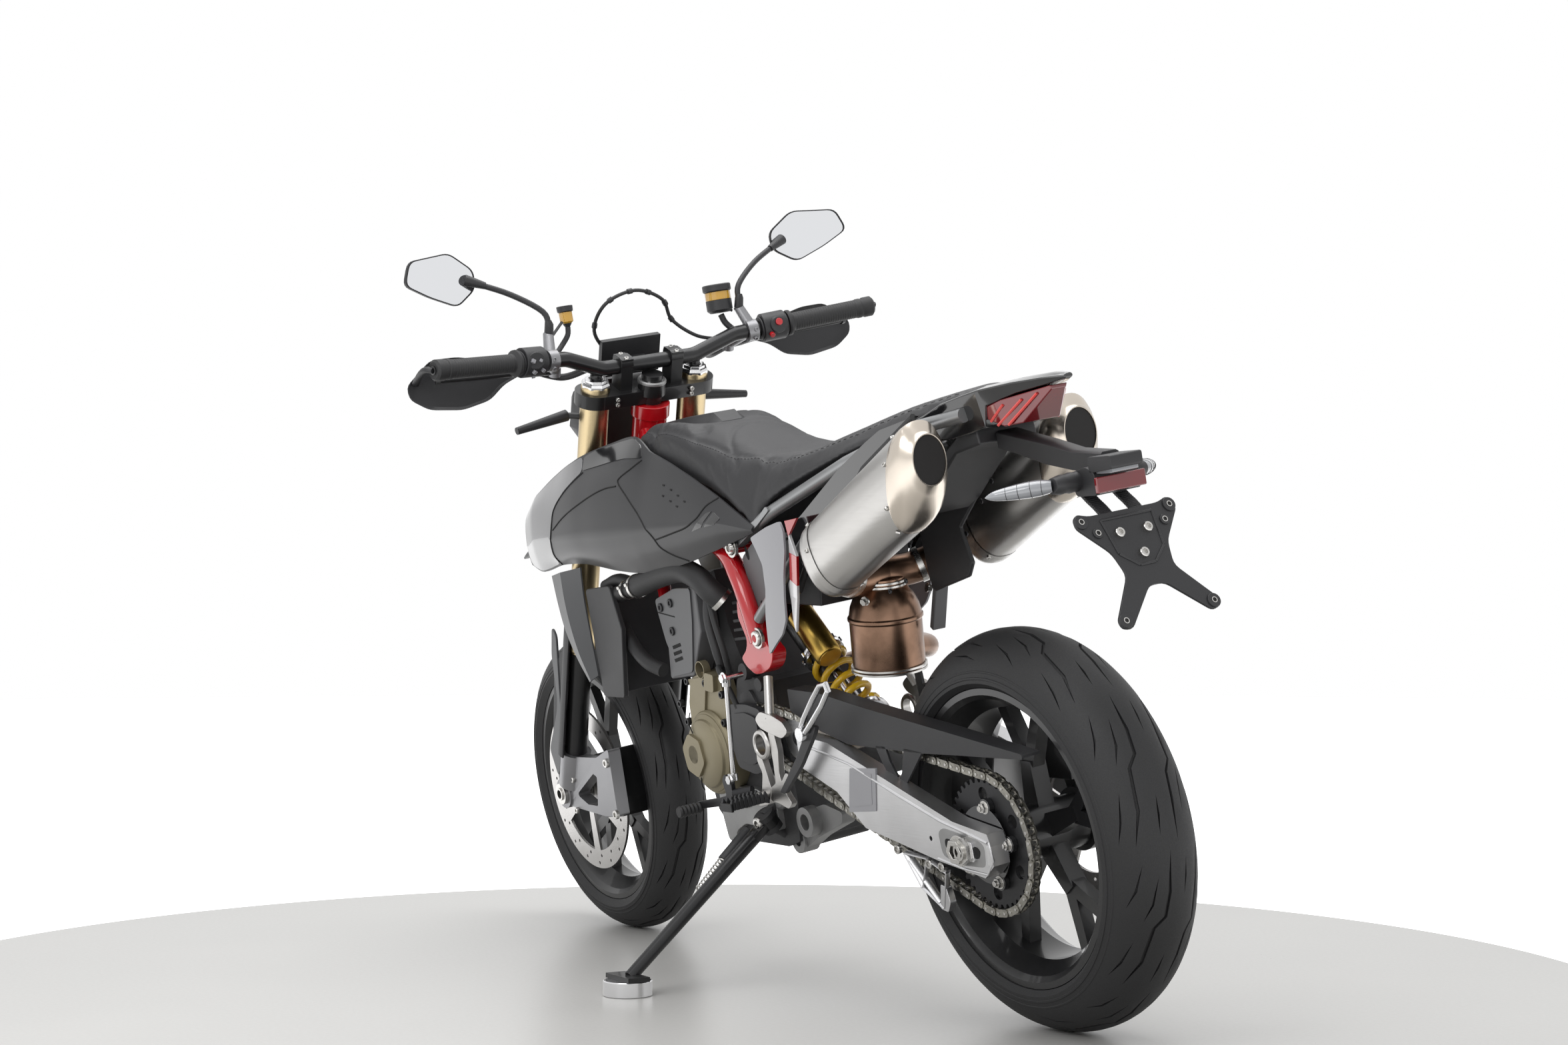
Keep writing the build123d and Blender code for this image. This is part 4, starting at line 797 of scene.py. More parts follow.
# Seat: a padded cover with pressed seams, through stations (x, [(y, z) from the middle out]), its stitches,
# and the filler's cover ahead of it.
SEAT = [
    (950, [(0, 978), (50, 982), (74, 984), (96, 974), (96, 962), (60, 954)]),
    (900, [(0, 984), (58, 990), (84, 996), (112, 980), (113, 950), (70, 945)]),
    (840, [(0, 984), (60, 991), (88, 998), (113, 968), (117, 926), (78, 926)]),
    (768, [(0, 984), (60, 988), (88, 990), (113, 958), (119, 908), (78, 905)]),
    (700, [(0, 984), (50, 980), (84, 968), (110, 942), (120, 890), (78, 895)]),
    (620, [(0, 952), (50, 950), (80, 942), (106, 922), (120, 858), (78, 868)]),
    (560, [(0, 932), (50, 932), (78, 928), (103, 914), (120, 828), (78, 855)]),
    (522, [(0, 925), (50, 925), (77, 922), (101, 910), (119, 806), (78, 850)]),
    (490, [(0, 920), (50, 921), (76, 919), (98, 908), (118, 834), (78, 860)]),
    (400, [(0, 919), (50, 921), (74, 919), (96, 910), (114, 874), (78, 880)]),
    (250, [(0, 942), (46, 945), (68, 943), (89, 934), (105, 915), (70, 915)]),
    (100, [(0, 968), (42, 971), (62, 968), (80, 961), (92, 944), (60, 945)]),
    (-60, [(0, 987), (32, 989), (48, 987), (62, 982), (67, 975), (44, 972)]),
    (-104, [(0, 992), (20, 993), (30, 992), (40, 989), (42, 986), (28, 984)]),
]


def seat_rings(inset):
    """The seat's sections, drawn in toward their middles."""
    rings = []
    for x, half in SEAT:
        line = flow(half, 3)
        ring = [(x, -p.x, p.y) for p in reversed(line[1:])] + [(x, p.x, p.y) for p in line]
        middle = sum((Vector(p) for p in ring), Vector()) / len(ring)
        rings.append([Vector(p) + (middle - Vector(p)).normalized() * inset for p in ring])
    return [list(ring) for ring in zip(*(flow(track, 5) for track in zip(*rings)))]


def puff(thing, voxel, pressure, limit, frames=20):
    """Swell a closed pad with a cloth simulation, by no more than the limit, and keep the result."""
    start_mesh = thing.data
    remesh = thing.modifiers.new("even", "REMESH")
    remesh.mode = "VOXEL"
    remesh.voxel_size = voxel
    depsgraph = bpy.context.evaluated_depsgraph_get()
    thing.data = bpy.data.meshes.new_from_object(thing.evaluated_get(depsgraph))
    thing.modifiers.clear()
    bpy.data.meshes.remove(start_mesh)
    rest = np.empty(len(thing.data.vertices) * 3, np.float32)
    thing.data.vertices.foreach_get("co", rest)
    cloth = thing.modifiers.new("cloth", "CLOTH")
    cloth.settings.use_pressure = True
    cloth.settings.uniform_pressure_force = pressure
    cloth.settings.effector_weights.gravity = 0
    scene = bpy.context.scene
    for step in range(1, frames + 1):
        scene.frame_set(step)
    depsgraph = bpy.context.evaluated_depsgraph_get()
    swollen = bpy.data.meshes.new_from_object(thing.evaluated_get(depsgraph))
    moved = np.empty(len(swollen.vertices) * 3, np.float32)
    swollen.vertices.foreach_get("co", moved)
    shift = (moved - rest).reshape(-1, 3)
    size = np.linalg.norm(shift, axis=1, keepdims=True)
    shift *= np.minimum(1, limit / np.maximum(size, 1e-9))
    swollen.vertices.foreach_set("co", (rest.reshape(-1, 3) + shift).ravel())
    thing.modifiers.clear()
    old = thing.data
    thing.data = swollen
    bpy.data.meshes.remove(old)
    scene.frame_set(1)


seat_part = Part("seat_cover", "vinyl")
seat_part.rings(seat_rings(3.0))
seat_piece = seat_part.done("seat_vinyl", weld=True, smooth=0, replaces=("seat",))
puff(seat_piece, voxel=0.005, pressure=4.0, limit=0.006)
seat_piece.data.materials.clear()
seat_piece.data.materials.append(M["vinyl"])

# Seams pressed into the cover, the first one stitched as well.
SEAM_HALF, SEAM_DEPTH = 4.5, 3.4
SEWN = [
    [(912, 92), (840, 96), (760, 98), (700, 94), (640, 88), (560, 84), (470, 82), (380, 78), (250, 72),
     (110, 62), (-40, 46)],
    [(690, 0), (672, 40), (640, 70), (600, 88), (575, 104)],
    [(420, 0), (430, 40), (452, 70), (470, 92)],
    [(380, 0), (386, 30), (400, 60), (404, 92)],
]
coords = np.empty(len(seat_piece.data.vertices) * 3, np.float32)
seat_piece.data.vertices.foreach_get("co", coords)
coords = coords.reshape(-1, 3)
turn = np.array(TO_BIKE.to_3x3())
local = coords @ turn.T + np.array(TO_BIKE.translation)
press = np.zeros(len(local))
for line in SEWN:
    for p in flow(line, 12):
        apart = np.hypot(local[:, 0] - p.x, np.abs(local[:, 1]) - p.y)
        press = np.maximum(press, np.exp(-(apart / SEAM_HALF) ** 2))
press *= local[:, 2] > np.interp(local[:, 0], [-100, 400, 700, 940], [970, 880, 915, 960])
up_way = np.array(BIKE.to_3x3() @ Vector((0, 0, 1)))
coords -= press[:, None] * up_way[None, :] * SEAM_DEPTH
seat_piece.data.vertices.foreach_set("co", coords.ravel())
finer = seat_piece.modifiers.new("finer", "SUBSURF")
finer.levels = finer.render_levels = 1
seat_piece.data.shade_smooth()

stitch = Part("seat_stitches", "thread")
tree = bmesh.new()
tree.from_mesh(seat_piece.data)
seat_tree = BVHTree.FromBMesh(tree)
tree.free()
down = -(BIKE.to_3x3() @ Vector((0, 0, 1))).normalized()
for sign in (-1, 1):
    spots = []
    for p in flow(SEWN[0], 16):
        hit = seat_tree.ray_cast(BIKE @ Vector((p.x, sign * (p.y + 5), 1100)), down)[0]
        if hit:
            spots.append(TO_BIKE @ hit)
    for a, b in list(zip(spots, spots[1:]))[::2]:
        stitch.tube([a + Vector((0, 0, 0.2)), (a + b) / 2 + Vector((0, 0, 0.5)), b + Vector((0, 0, 0.2))],
                    0.55, 5)
stitch.done("seat_vinyl")

cover = Part("filler_cover", "plastic")
COVER = [(744, 44, 20, 972, 988), (772, 50, 22, 974, 1008), (860, 54, 24, 968, 1006),
         (950, 56, 26, 958, 1001), (984, 50, 22, 955, 984)]
cover.rings([[(x, -w, low), (x, -w + 2, low + 6), (x, -t - 4, high - 5), (x, -t, high), (x, t, high),
              (x, t + 4, high - 5), (x, w - 2, low + 6), (x, w, low)] for x, w, t, low, high in COVER])
cover.rings([[(x, -w, z), (x, -w + 3, z + 9), (x, w - 3, z + 9), (x, w, z)] for x, w, z in
             ((706, 46, 968), (722, 58, 970), (800, 64, 974), (900, 66, 970), (960, 60, 960))])
cover.done("black_plastic", bevel=2.5, segments=3, smooth=30)

# Tail: the cowl's blade through stations (x, [(y, z) from the middle out]), the inner fender and the lamp.
TAIL = [
    (84, [(0, 958), (58, 956), (84, 948), (80, 926)]),
    (30, [(0, 970), (54, 968), (80, 962), (76, 922)]),
    (-10, [(0, 981), (50, 980), (77, 975), (72, 920)]),
    (-60, [(0, 990), (44, 989), (69, 984), (60, 926)]),
    (-88, [(0, 994), (40, 993), (65, 988), (54, 932)]),
    (-94, [(0, 994), (38, 993), (63, 989), (53, 963)]),
    (-150, [(0, 998), (24, 997), (44, 993), (38, 976)]),
    (-205, [(0, 999), (12, 998), (25, 994), (20, 983)]),
    (-234, [(0, 995), (4, 995), (8, 992), (6, 988)]),
]
cowl = Part("tail_cowl", "gloss")
cowl.rings([[(x, -y, z) for y, z in reversed(half[1:])] + [(x, y, z) for y, z in half] for x, half in TAIL])
cowl.done(bevel=3, segments=3, smooth=30)
fender = Part("inner_fender", "plastic")
fender_top = [(-62, 930), (-66, 908), (0, 897), (40, 868), (104, 822), (130, 806), (240, 796), (306, 800),
              (306, 860), (296, 860), (290, 806), (240, 806), (130, 842), (60, 884), (-10, 924), (-50, 936)]
fender.prism(fender_top, -54, 54)
fender.prism([(104, 824), (165, 774), (158, 750), (146, 716), (162, 694), (262, 672), (270, 674), (276, 700),
              (284, 784), (300, 802), (130, 812)], -54, -46)
fender.done("black_plastic", bevel=4, segments=3, replaces=("tail_unit",))
flap = Part("fender_flap", "grey")
flap.rings([[(262, y, 680), (272, y, 684), (306 - abs(y) * 0.1, y, 612), (298 - abs(y) * 0.1, y, 606)]
            for y in (-74, -70, -60, -50)])
flap.done("black_plastic", bevel=1.5)
LAMP = [(-90, [(50, 943), (51, 962)]), (-124, [(46, 930), (47, 970)]), (-154, [(34, 932), (36, 974)]),
        (-206, [(13, 975), (17, 981)])]
lamp = Part("tail_lamp", "lens_red")
lamp.rings([[(x, -y, z) for y, z in half[::-1]] + [(x, y, z) for y, z in half] for x, half in LAMP])
lamp.prism([(-318, 823), (-318, 846), (-311, 846), (-311, 823)], -44, 44)
lamp.done("lens_red", bevel=2, segments=3, replaces=("tail_lenses",))
bars = Part("tail_lamp_bars", "lamp_glow")
for sign in (-1, 1):
    for a, b in (((-98, 46, 940), (-128, 43, 962)), ((-112, 45, 933), (-160, 32, 966)),
                 ((-134, 42, 932), (-186, 22, 972))):
        bars.tube([(x, sign * (y + 3.4), z) for x, y, z in (a, b)], 2.2, 6)
bars.done("lens_red")

# Silencers: brushed cans with polished oblique end caps.
CAN_START, CAN_END = Vector((262, 150, 752)), Vector((-57, 140, 899))
can_way = (CAN_END - CAN_START).normalized()
can_across = (Vector((0, 1, 0)) - can_way * can_way.y).normalized()
can_down = can_way.cross(can_across)
CAN_LEN = (CAN_END - CAN_START).length


def can_ring(back, width, height, drop=0.0, power=2.4, lean=0.0, sides=48):
    """An oval across the silencer, measured back from its end, leaning over by a share of the upright."""
    centre = CAN_END - can_way * back + can_down * drop
    upright = -can_down.x / can_way.x
    ring = []
    for t in turns(sides):
        c, s = math.cos(t), math.sin(t)
        fall = height / 2 * math.copysign(abs(s) ** (2 / power), s)
        ring.append(centre + can_across * (width / 2 * math.copysign(abs(c) ** (2 / power), c))
                    + can_down * fall + can_way * (fall * upright * lean))
    return ring


can = Part("silencer_cans", "steel_can")
can.rings([can_ring(CAN_LEN, 76, 110), can_ring(CAN_LEN - 5, 84, 120), can_ring(CAN_LEN - 14, 90, 126),
           can_ring(240, 90, 128, 1), can_ring(150, 91, 130, 2, lean=0.5),
           can_ring(56, 92, 132, 3, lean=1.45)])
can.rings([can_ring(CAN_LEN - 24, 91.6, 128), can_ring(CAN_LEN - 40, 91.8, 128)], caps=False)
can.twin().done("silencer_steel", weld=True, smooth=32, replaces=("silencers",))
cap = Part("silencer_caps", "champagne")
cap.rings([can_ring(60, 93, 133, 3, lean=1.45), can_ring(58, 94, 134.5, 3, lean=1.45),
           can_ring(50, 94, 134.5, 3, lean=1.43), can_ring(40, 93, 133, 3, lean=1.36),
           can_ring(28, 90, 128, 2, 2.35, 1.27), can_ring(18, 83, 112, 1, 2.25, 1.16),
           can_ring(8, 72, 88, 0.4, 2.1, 1.06), can_ring(1, 63, 73, 0, 2, 1.0),
           can_ring(-1, 61, 71, 0, 2, 1.0), can_ring(-1, 58, 68, 0, 2, 1.0), can_ring(8, 57, 67, 0, 2, 1.0)],
          caps=False)
cap.twin().done("silencer_steel", weld=True, smooth=40)
mouth = Part("silencer_mouths", "soot")
mouth.rings([can_ring(1, 57.4, 67.4, 0, 2, 1), can_ring(3, 55, 65, 0, 2, 1), can_ring(9, 53, 63, 0, 2, 1),
             can_ring(9, 27, 31, 0, 2, 1), can_ring(6, 26, 30, 0, 2, 1), can_ring(6, 22, 26, 0, 2, 1),
             can_ring(28, 21, 25, 0, 2, 1)])
mouth.twin().done("silencer_steel")
mouth_rings = Part("silencer_mouth_rings", "cast")
for width in (50, 34):
    mouth_rings.rings([can_ring(9, width + 2, width * 1.17 + 2, 0, 2, 1),
                       can_ring(7.4, width, width * 1.17, 0, 2, 1),
                       can_ring(9, width - 2, width * 1.17 - 2, 0, 2, 1)], caps=False)
mouth_rings.twin().done("silencer_steel", smooth=60)
rivets = Part("silencer_rivets", "steel")
for back, lean, angles in ((66, 1.45, (155, 195, 240, 300, 340, 20, 60)),
                           (CAN_LEN - 32, 0, (190, 240, 300, 350, 120))):
    ring = can_ring(back, 92.5, 133 if lean else 128, 3 if lean else 0, lean=lean, sides=72)
    centre = sum(ring, Vector()) / len(ring)
    for angle in angles:
        spot = ring[angle // 5 % 72]
        rivets.bolt(spot, spot - centre, 3.6, 2.4)
rivets.twin().done("silencer_steel")

# Exhaust: a heat-coloured collector, its clamps, springs and the pipes to the cans.
COLLECTOR_LOW, COLLECTOR_TOP = Vector((362, 0, 548)), Vector((341, 0, 708))
BRANCH = [(341, 0, 712), (336, 58, 710), (306, 112, 726), (268, 146, 748)]  # left pipe, from collector to can
collector_place = aimed(COLLECTOR_LOW, COLLECTOR_TOP - COLLECTOR_LOW)
pipes = Part("exhaust_collector", "copper")
pipes.lathe([(AXIS, 0), (46, 1), (54, 4), (59, 10), (60, 18), (60, 88), (62.5, 90), (62.5, 95), (60, 97),
             (57, 112), (50, 128), (41, 139), (36, 145), (36, 158), (AXIS, 158)], 48, "Z", collector_place)
for sign in (-1, 1):
    run = flow([(x, sign * y, z) for x, y, z in BRANCH], 8)
    pipes.tube(run, [27 if k < 22 else 25 for k in range(len(run))], 24)
header_run = flow([(926, -40, 610), (990, -60, 596), (992, -128, 520), (900, -158, 500), (700, -168, 530),
                   (560, -174, 556), (470, -150, 560), (420, -70, 574), (372, 0, 590)], 8)
pipes.tube(header_run, 20, 20)
pipes.done("exhaust_copper", bevel=1, replaces=("exhaust_pipe",), smooth=40)
bands = Part("exhaust_clamps", "steel")
for z, radius, thick in ((6, 61, 2), (12, 61, 2), (146, 37, 2.5), (152, 37, 2.5)):
    bands.lathe([(radius, z - 2), (radius + thick, z - 1.6), (radius + thick, z + 1.6), (radius, z + 2)], 48,
                "Z", collector_place, loop=True)
for sign in (-1, 1):
    low, high = (Vector((x, sign * y, z)) for x, y, z in BRANCH[1:3])
    for share in (0.2, 0.62):
        bands.sleeve(26, 30, -5, 5, 32, "Z", aimed(low.lerp(high, share), (high - low).normalized()))
    for drop in (-31, 31):
        start = Vector((352 + drop * 0.5, sign * 40, 694 - abs(drop) * 0.1))
        end = Vector((318 + drop * 0.5, sign * 84, 708 - abs(drop) * 0.1))
        bands.coil(start, end, 5, 1.3, 9, 6)
        bands.tube([start - (end - start) * 0.2, start], 1.3, 6)
        bands.tube([end, end + (end - start) * 0.2], 1.3, 6)
    bands.bolt((306, sign * 60, 676), (-0.2, sign, -0.3), 6, 8, False)
bands.done("silencer_steel")
hanger = Part("exhaust_hanger", "dark_metal")
hanger.prism([(330, 560), (322, 500), (300, 470), (286, 446), (300, 440), (318, 462), (340, 500), (346, 556)],
             -40, -34, 4)
hanger.prism([(318, 522), (280, 528), (280, 514), (318, 508)], -40, -30, 3)
hanger.bolt((312, -34, 512), (0, 1, 0), 7, 6)
hanger.bolt((300, -34, 460), (0, 1, 0), 7, 6)
hanger.done("black_plastic", bevel=1)

# Side panels: a silver blade, a striped edge, a dark inner guard and the heat plate ahead of the silencer.
panels = Part("silver_panels", "silver")
silver_line = [(499, 797), (440, 814), (398, 822), (389, 805), (391, 772), (404, 732), (413, 696), (420, 660),
               (440, 636), (502, 600), (485, 667), (468, 711), (466, 752), (483, 778)]


def panel_y(x, z):
    """The silver panel bows out toward its middle."""
    return 146 - 0.00042 * (z - 720) ** 2 - 0.0006 * (x - 440) ** 2


laid_on(panels, silver_line, 2, 4, panel_y, 14, 6)
panels.twin().done("panel_silver", bevel=1, replaces=("side_panels",))
stripe_edges = [(384, 822, 334, 826), (379, 796, 366, 800), (384, 770, 353, 764), (396, 726, 366, 716),
                (401, 700, 372, 694), (406, 655, 392, 640)]
for colour, spans in (("red", (0, 2)), ("white", (1, 3, 4))):
    stripe = Part("stripes_" + colour, colour)
    for k in spans:
        stripe.rings([[(x0, 141, z0), (x1, 147, z1), (x1 + 2, 141, z1), (x0, 137, z0)]
                      for x0, z0, x1, z1 in stripe_edges[k:k + 2]])
    stripe.twin().done("panel_silver", bevel=0.6)
inner_guard = Part("inner_guards", "grey")
laid_on(inner_guard, [(590, 760), (545, 786), (519, 760), (505, 716), (520, 668), (545, 650), (563, 660),
                      (578, 702)], 1, 5, lambda x, z: 112, 16, 8)
inner_guard.twin().done("grey_plastic", bevel=1)
# Near-black ovals stand in for the inner guard's slots: painted shade.
holes = Part("guard_slots", "joint_and_hole_shade")
for x, z, w, h in ((570, 768, 5, 12), (546, 682, 4, 5)):
    holes.add([(x + w * math.cos(t) + h * 0.2 * math.sin(t), 113.6, z + h * math.sin(t)) for t in turns(16)],
              [tuple(range(16))])
holes.twin().done("black_plastic")


def plate_y(x, z):
    """The heat plate leans out toward the silencer's front."""
    return 110 + 0.02 * (x - 150)


heat = Part("heat_plates", "gloss")
heat_line = [(0, 965), (108, 949), (153, 932), (241, 894), (370, 826), (390, 817), (412, 788), (408, 745),
             (440, 716), (441, 683), (405, 704), (363, 752), (274, 799), (160, 893)]
laid_on(heat, heat_line, 3, 4, plate_y, 14, 5)
heat.twin().done("black_plastic", bevel=1)
rim_line = Part("heat_plate_rims", "rubber")
rim_spots = [(8, 963), (88, 926), (160, 893), (218, 846), (274, 799), (363, 752), (405, 704)]
rim_line.tube([(x, plate_y(x, z) + 6, z) for x, z in rim_spots], 6, 8)
rim_line.twin().done("black_plastic", smooth=50)
studs = Part("panel_bolts", "dark_metal")
for radius, height in ((11, 6), (17, 2)):
    studs.bolt((372, plate_y(372, 757) + 3, 757), (0, 1, 0), radius, height)
studs.twin().done("black_plastic")

# Frame: its bolts and the rails' cast ends.
bolts = Part("frame_bolts", "steel")
for x, z, y, r in ((595, 780, 126, 12), (549, 626, 130, 13)):
    bolts.bolt((x, y, z), (0, 1, 0), r, 8)
    bolts.sleeve(r + 1, r + 5, -2, 3, 28, "Y", Matrix.Translation((x, y, z)))
bolts.bolt((571, 140, 781), (0.3, 1, 0.1), 6, 5)
bolts.twin().done("bare_aluminium")
knuckle = Part("rail_knuckles", "sub")
knuckle.prism([(612, 792), (590, 800), (500, 828), (470, 846), (462, 838), (520, 808), (580, 782),
               (600, 776)], 104, 122, 6)
knuckle.prism([(520, 800), (500, 806), (478, 790), (430, 800), (428, 790), (480, 776), (508, 790)],
              106, 116, 4)
knuckle.twin().done("subframe_grey", bevel=3, segments=3)

# Cooling: the radiators' fins, and hoses with clamps.
core = Part("radiator_cores", "dark_metal")
for sign in (-1, 1):
    near, far = sign * 12, sign * 138
    for k in range(26):
        z = 528 + k * 6.6
        front = 1066 + (z - 520) * 0.05
        core.rings([[(x, near, z), (x, far, z), (x, far, z + 2), (x, near, z + 2)]
                    for x in (front, front - 8)])
core.done("black_plastic")
hoses = Part("coolant_hose_runs", "rubber")
main_run = flow([(1136, 130, 696), (1060, 133, 700), (985, 134, 712), (930, 134, 722), (880, 133, 732),
                 (812, 131, 742), (768, 129, 742), (728, 127, 728), (700, 122, 704), (688, 108, 686)], 6)
hoses.tube(main_run, [15 if k < 16 else 21 for k in range(len(main_run))], 20)
hoses.tube(flow([(1110, 118, 716), (1040, 122, 728), (945, 124, 716), (900, 122, 740), (800, 112, 770)], 6),
           12, 16)
hoses.tube(flow([(930, 120, 560), (968, 128, 575), (1010, 128, 600), (1050, 126, 640)], 6), 13, 16)
hoses.tube(flow([(700, 112, 560), (690, 122, 600), (702, 124, 650), (720, 118, 690)], 6), 6, 10)
hoses.tube(flow([(740, 96, 560), (716, 124, 570), (690, 126, 540), (676, 120, 500)], 6), 5, 10)
hoses.done("hose_rubber", replaces=("coolant_hoses",), smooth=60)
clips = Part("hose_clamps", "steel")
for place, way, radius in (((1120, 130, 697), (1, 0, 0), 16), ((990, 134, 712), (-1, 0, 0.12), 17),
                           ((950, 134, 718), (-1, 0, 0.12), 21.5), ((690, 110, 688), (0.3, 0.6, 0.8), 21.5)):
    clips.sleeve(radius, radius + 1.4, -4, 4, 28, "Z", aimed(place, way))
    clips.bolt(Vector(place) + Vector((0, radius + 2, 4)), (0, 0.2, 1), 3.5, 5)
clips.done("bare_aluminium")

# Engine: cover plates, ribs and fasteners on the plain block.
covers = Part("cylinder_shields", "silver_grey")
laid_on(covers, [(918, 690), (840, 710), (780, 710), (790, 652), (818, 560), (904, 548), (880, 580),
                 (900, 612), (912, 660)], 2, 5, lambda x, z: 119, 18, 8)
covers.done("grey_plastic", bevel=2, segments=3)
# Near-black strips stand in for the shield's slots: painted shade.
slots = Part("shield_slots", "joint_and_hole_shade")
for k in range(3):
    slots.prism([(878, 606 - k * 12), (848, 612 - k * 12), (846, 606 - k * 12), (876, 600 - k * 12)],
                120, 121.6)
slots.prism([(912, 668), (852, 660), (852, 658), (912, 666)], 120, 121.6)
slots.done("black_plastic")
screws = Part("engine_screws", "dark_metal")
for x, z, y in ((899, 676, 121), (860, 684, 121), (869, 633, 121)):
    screws.bolt((x, y, z), (0, 1, 0), 8, 3)
for x, z, y in ((855, 541, 114), (789, 539, 114), (894, 499, 114), (880, 466, 112), (742, 470, 114),
                (735, 520, 114)):
    screws.bolt((x, y - 4, z), (0, 1, 0), 7, 9)
screws.done("engine_metal")
case = Part("crank_cover", "bronze")
case.lathe([(76, 84), (76, 116), (73, 121), (70, 122), (70, 124), (62, 127), (60, 132), (56, 134), (30, 136),
            (AXIS, 137)], 56, "Y", Matrix.Translation((800, 0, 415)))
case.prism([(735, 440), (868, 450), (866, 500), (846, 545), (800, 560), (742, 552), (724, 480)], 84, 113, 8)
case.prism([(850, 545), (780, 552), (812, 470)], 112, 117, 4)
case.prism([(838, 452), (866, 425), (858, 385), (822, 372), (792, 400), (802, 440)], 130, 141, 7)
case.lathe([(AXIS, 141), (17, 141), (20, 138), (20, 136)], 28, "Y", Matrix.Translation((828, 0, 414)))
case.prism([(745, 556), (776, 560), (786, 528), (752, 524)], 100, 122, 6)
case.sleeve(14, 16, 108, 122, 28, "Y", Matrix.Translation((790, 0, 564)))
case.lathe([(AXIS, -128), (66, -136), (80, -130), (86, -122), (86, -84), (AXIS, -84)], 56, "Y",
           Matrix.Translation((690, 0, 400)))
case.lathe([(AXIS, -112), (50, -112), (58, -104), (58, -84), (AXIS, -84)], 48, "Y",
           Matrix.Translation((815, 0, 415)))
case.done("engine_bronze", bevel=2.2, segments=3, replaces=("engine_covers",), smooth=30)
case_lines = Part("crank_cover_lines", "joint_and_hole_shade")
for points in ([(826, 136.6, 452), (838, 134.5, 470), (846, 125, 486)], [(866, 136, 402), (874, 128, 396)],
               [(820, 137, 372), (832, 131, 356), (838, 124, 346)]):
    case_lines.tube(flow(points, 5), 1.1, 6)
case_lines.done("engine_bronze")
side_case = Part("clutch_side_castings", "engine")
side_case.prism([(700, 548), (640, 552), (600, 520), (598, 440), (640, 392), (712, 400), (724, 470)],
                84, 100, 10)
side_case.prism([(690, 520), (652, 530), (630, 500), (640, 430), (684, 424)], 99, 106, 8)
side_case.prism([(668, 500), (650, 500), (648, 474), (668, 470)], 105, 109, 5)
for k in range(5):
    side_case.prism([(700 - k * 3, 612 + k * 16), (640, 616 + k * 16), (640, 621 + k * 16),
                     (700 - k * 3, 617 + k * 16)], 60, 92, 1)
side_case.tube(flow([(742, 100, 560), (742, 108, 600), (752, 108, 660), (748, 96, 720)], 6), 9, 12)
side_case.tube([(720, 86, 470), (720, 116, 476)], 13, 16)
side_case.tube([(655, 84, 560), (655, 112, 562)], 15, 16)
side_case.tube([(612, 84, 540), (612, 110, 540)], 12, 16)
side_case.done("engine_metal", bevel=2, segments=3)
lower = Part("lower_castings", "cast")
for x, z in ((819, 261), (617, 260)):
    lower.sleeve(9, 22, 46, 78, 28, "Y", Matrix.Translation((x, 0, z)))
lower.prism([(560, 320), (590, 300), (640, 290), (650, 252), (616, 240), (560, 268), (470, 300), (466, 320),
             (520, 330)], 44, 72, 8)
lower.prism([(840, 300), (830, 250), (806, 244), (796, 268), (760, 284), (640, 280), (640, 330), (700, 350),
             (840, 352)], 66, 96, 8)
lower.lathe([(AXIS, 96), (30, 96), (34, 92), (34, 66), (AXIS, 66)], 32, "Y",
            Matrix.Translation((640, 0, 350)))
lower.sleeve(14, 26, 70, 92, 28, "Y", Matrix.Translation((560, 0, 300)))
for x, z in ((690, 330), (740, 322), (800, 318), (660, 300)):
    lower.bolt((x, 96, z), (0, 1, 0), 8, 6)
lower.done("bare_aluminium", bevel=2, segments=3)

# Shock: a black body with a gold reservoir, its preload ring, shaft and coils.
SHOCK_TOP, SHOCK_LOW = Vector((640, 0, 648)), Vector((438, 0, 452))
shock_way = (SHOCK_LOW - SHOCK_TOP).normalized()
shock_place = aimed(SHOCK_TOP, shock_way)
shock_body = Part("shock_body", "anodised")
shock_body.lathe([(14, 6), (30, 24), (30, 88), (26, 96), (26, 150), (AXIS, 150), (AXIS, 6)],
                 36, "Z", shock_place)
shock_body.tube([(640, -17, 648), (640, 17, 648)], 16, 24)
shock_body.tube([(438, -16, 460), (438, 16, 460)], 14, 24)
shock_body.done("shock_metal", bevel=1, replaces=("shock_absorber",))
pot = Part("shock_reservoir", "shock_gold")
pot_offset = Vector((-52, 34, 26))
pot_place = aimed(SHOCK_TOP + shock_way * 40 + pot_offset, shock_way)
pot.lathe([(AXIS, -6), (20, -6), (24, -2), (24, 96), (22, 100), (20, 101), (20, 103), (8, 104), (AXIS, 103)],
          40, "Z", pot_place)
pot.tube([SHOCK_TOP + shock_way * 54, SHOCK_TOP + shock_way * 50 + pot_offset], 13, 20)
pot.done("shock_metal")
preload = Part("shock_preload", "bright")
preload.lathe([(27, 96), (36, 97), (37, 100), (37, 104), (34, 106), (34, 108), (37, 110), (37, 113),
               (27, 114)], 40, "Z", shock_place, loop=True)
for t in turns(10):
    preload.tube([shock_place @ Vector((37.2 * math.cos(t), 37.2 * math.sin(t), z)) for z in (97, 105)],
                 2.4, 6)
preload.drum(10, 150, 262, 28, "Z", shock_place)
preload.lathe([(AXIS, 242), (34, 243), (36, 246), (36, 256), (20, 262), (AXIS, 262)], 36, "Z", shock_place)
preload.done("shock_metal")
spring = Part("shock_coils", "yellow")
spring.coil(SHOCK_TOP + shock_way * 119, SHOCK_TOP + shock_way * 240, 31, 6, 4.2, 12)
spring.done("spring_yellow", replaces=("shock_spring",), smooth=60)

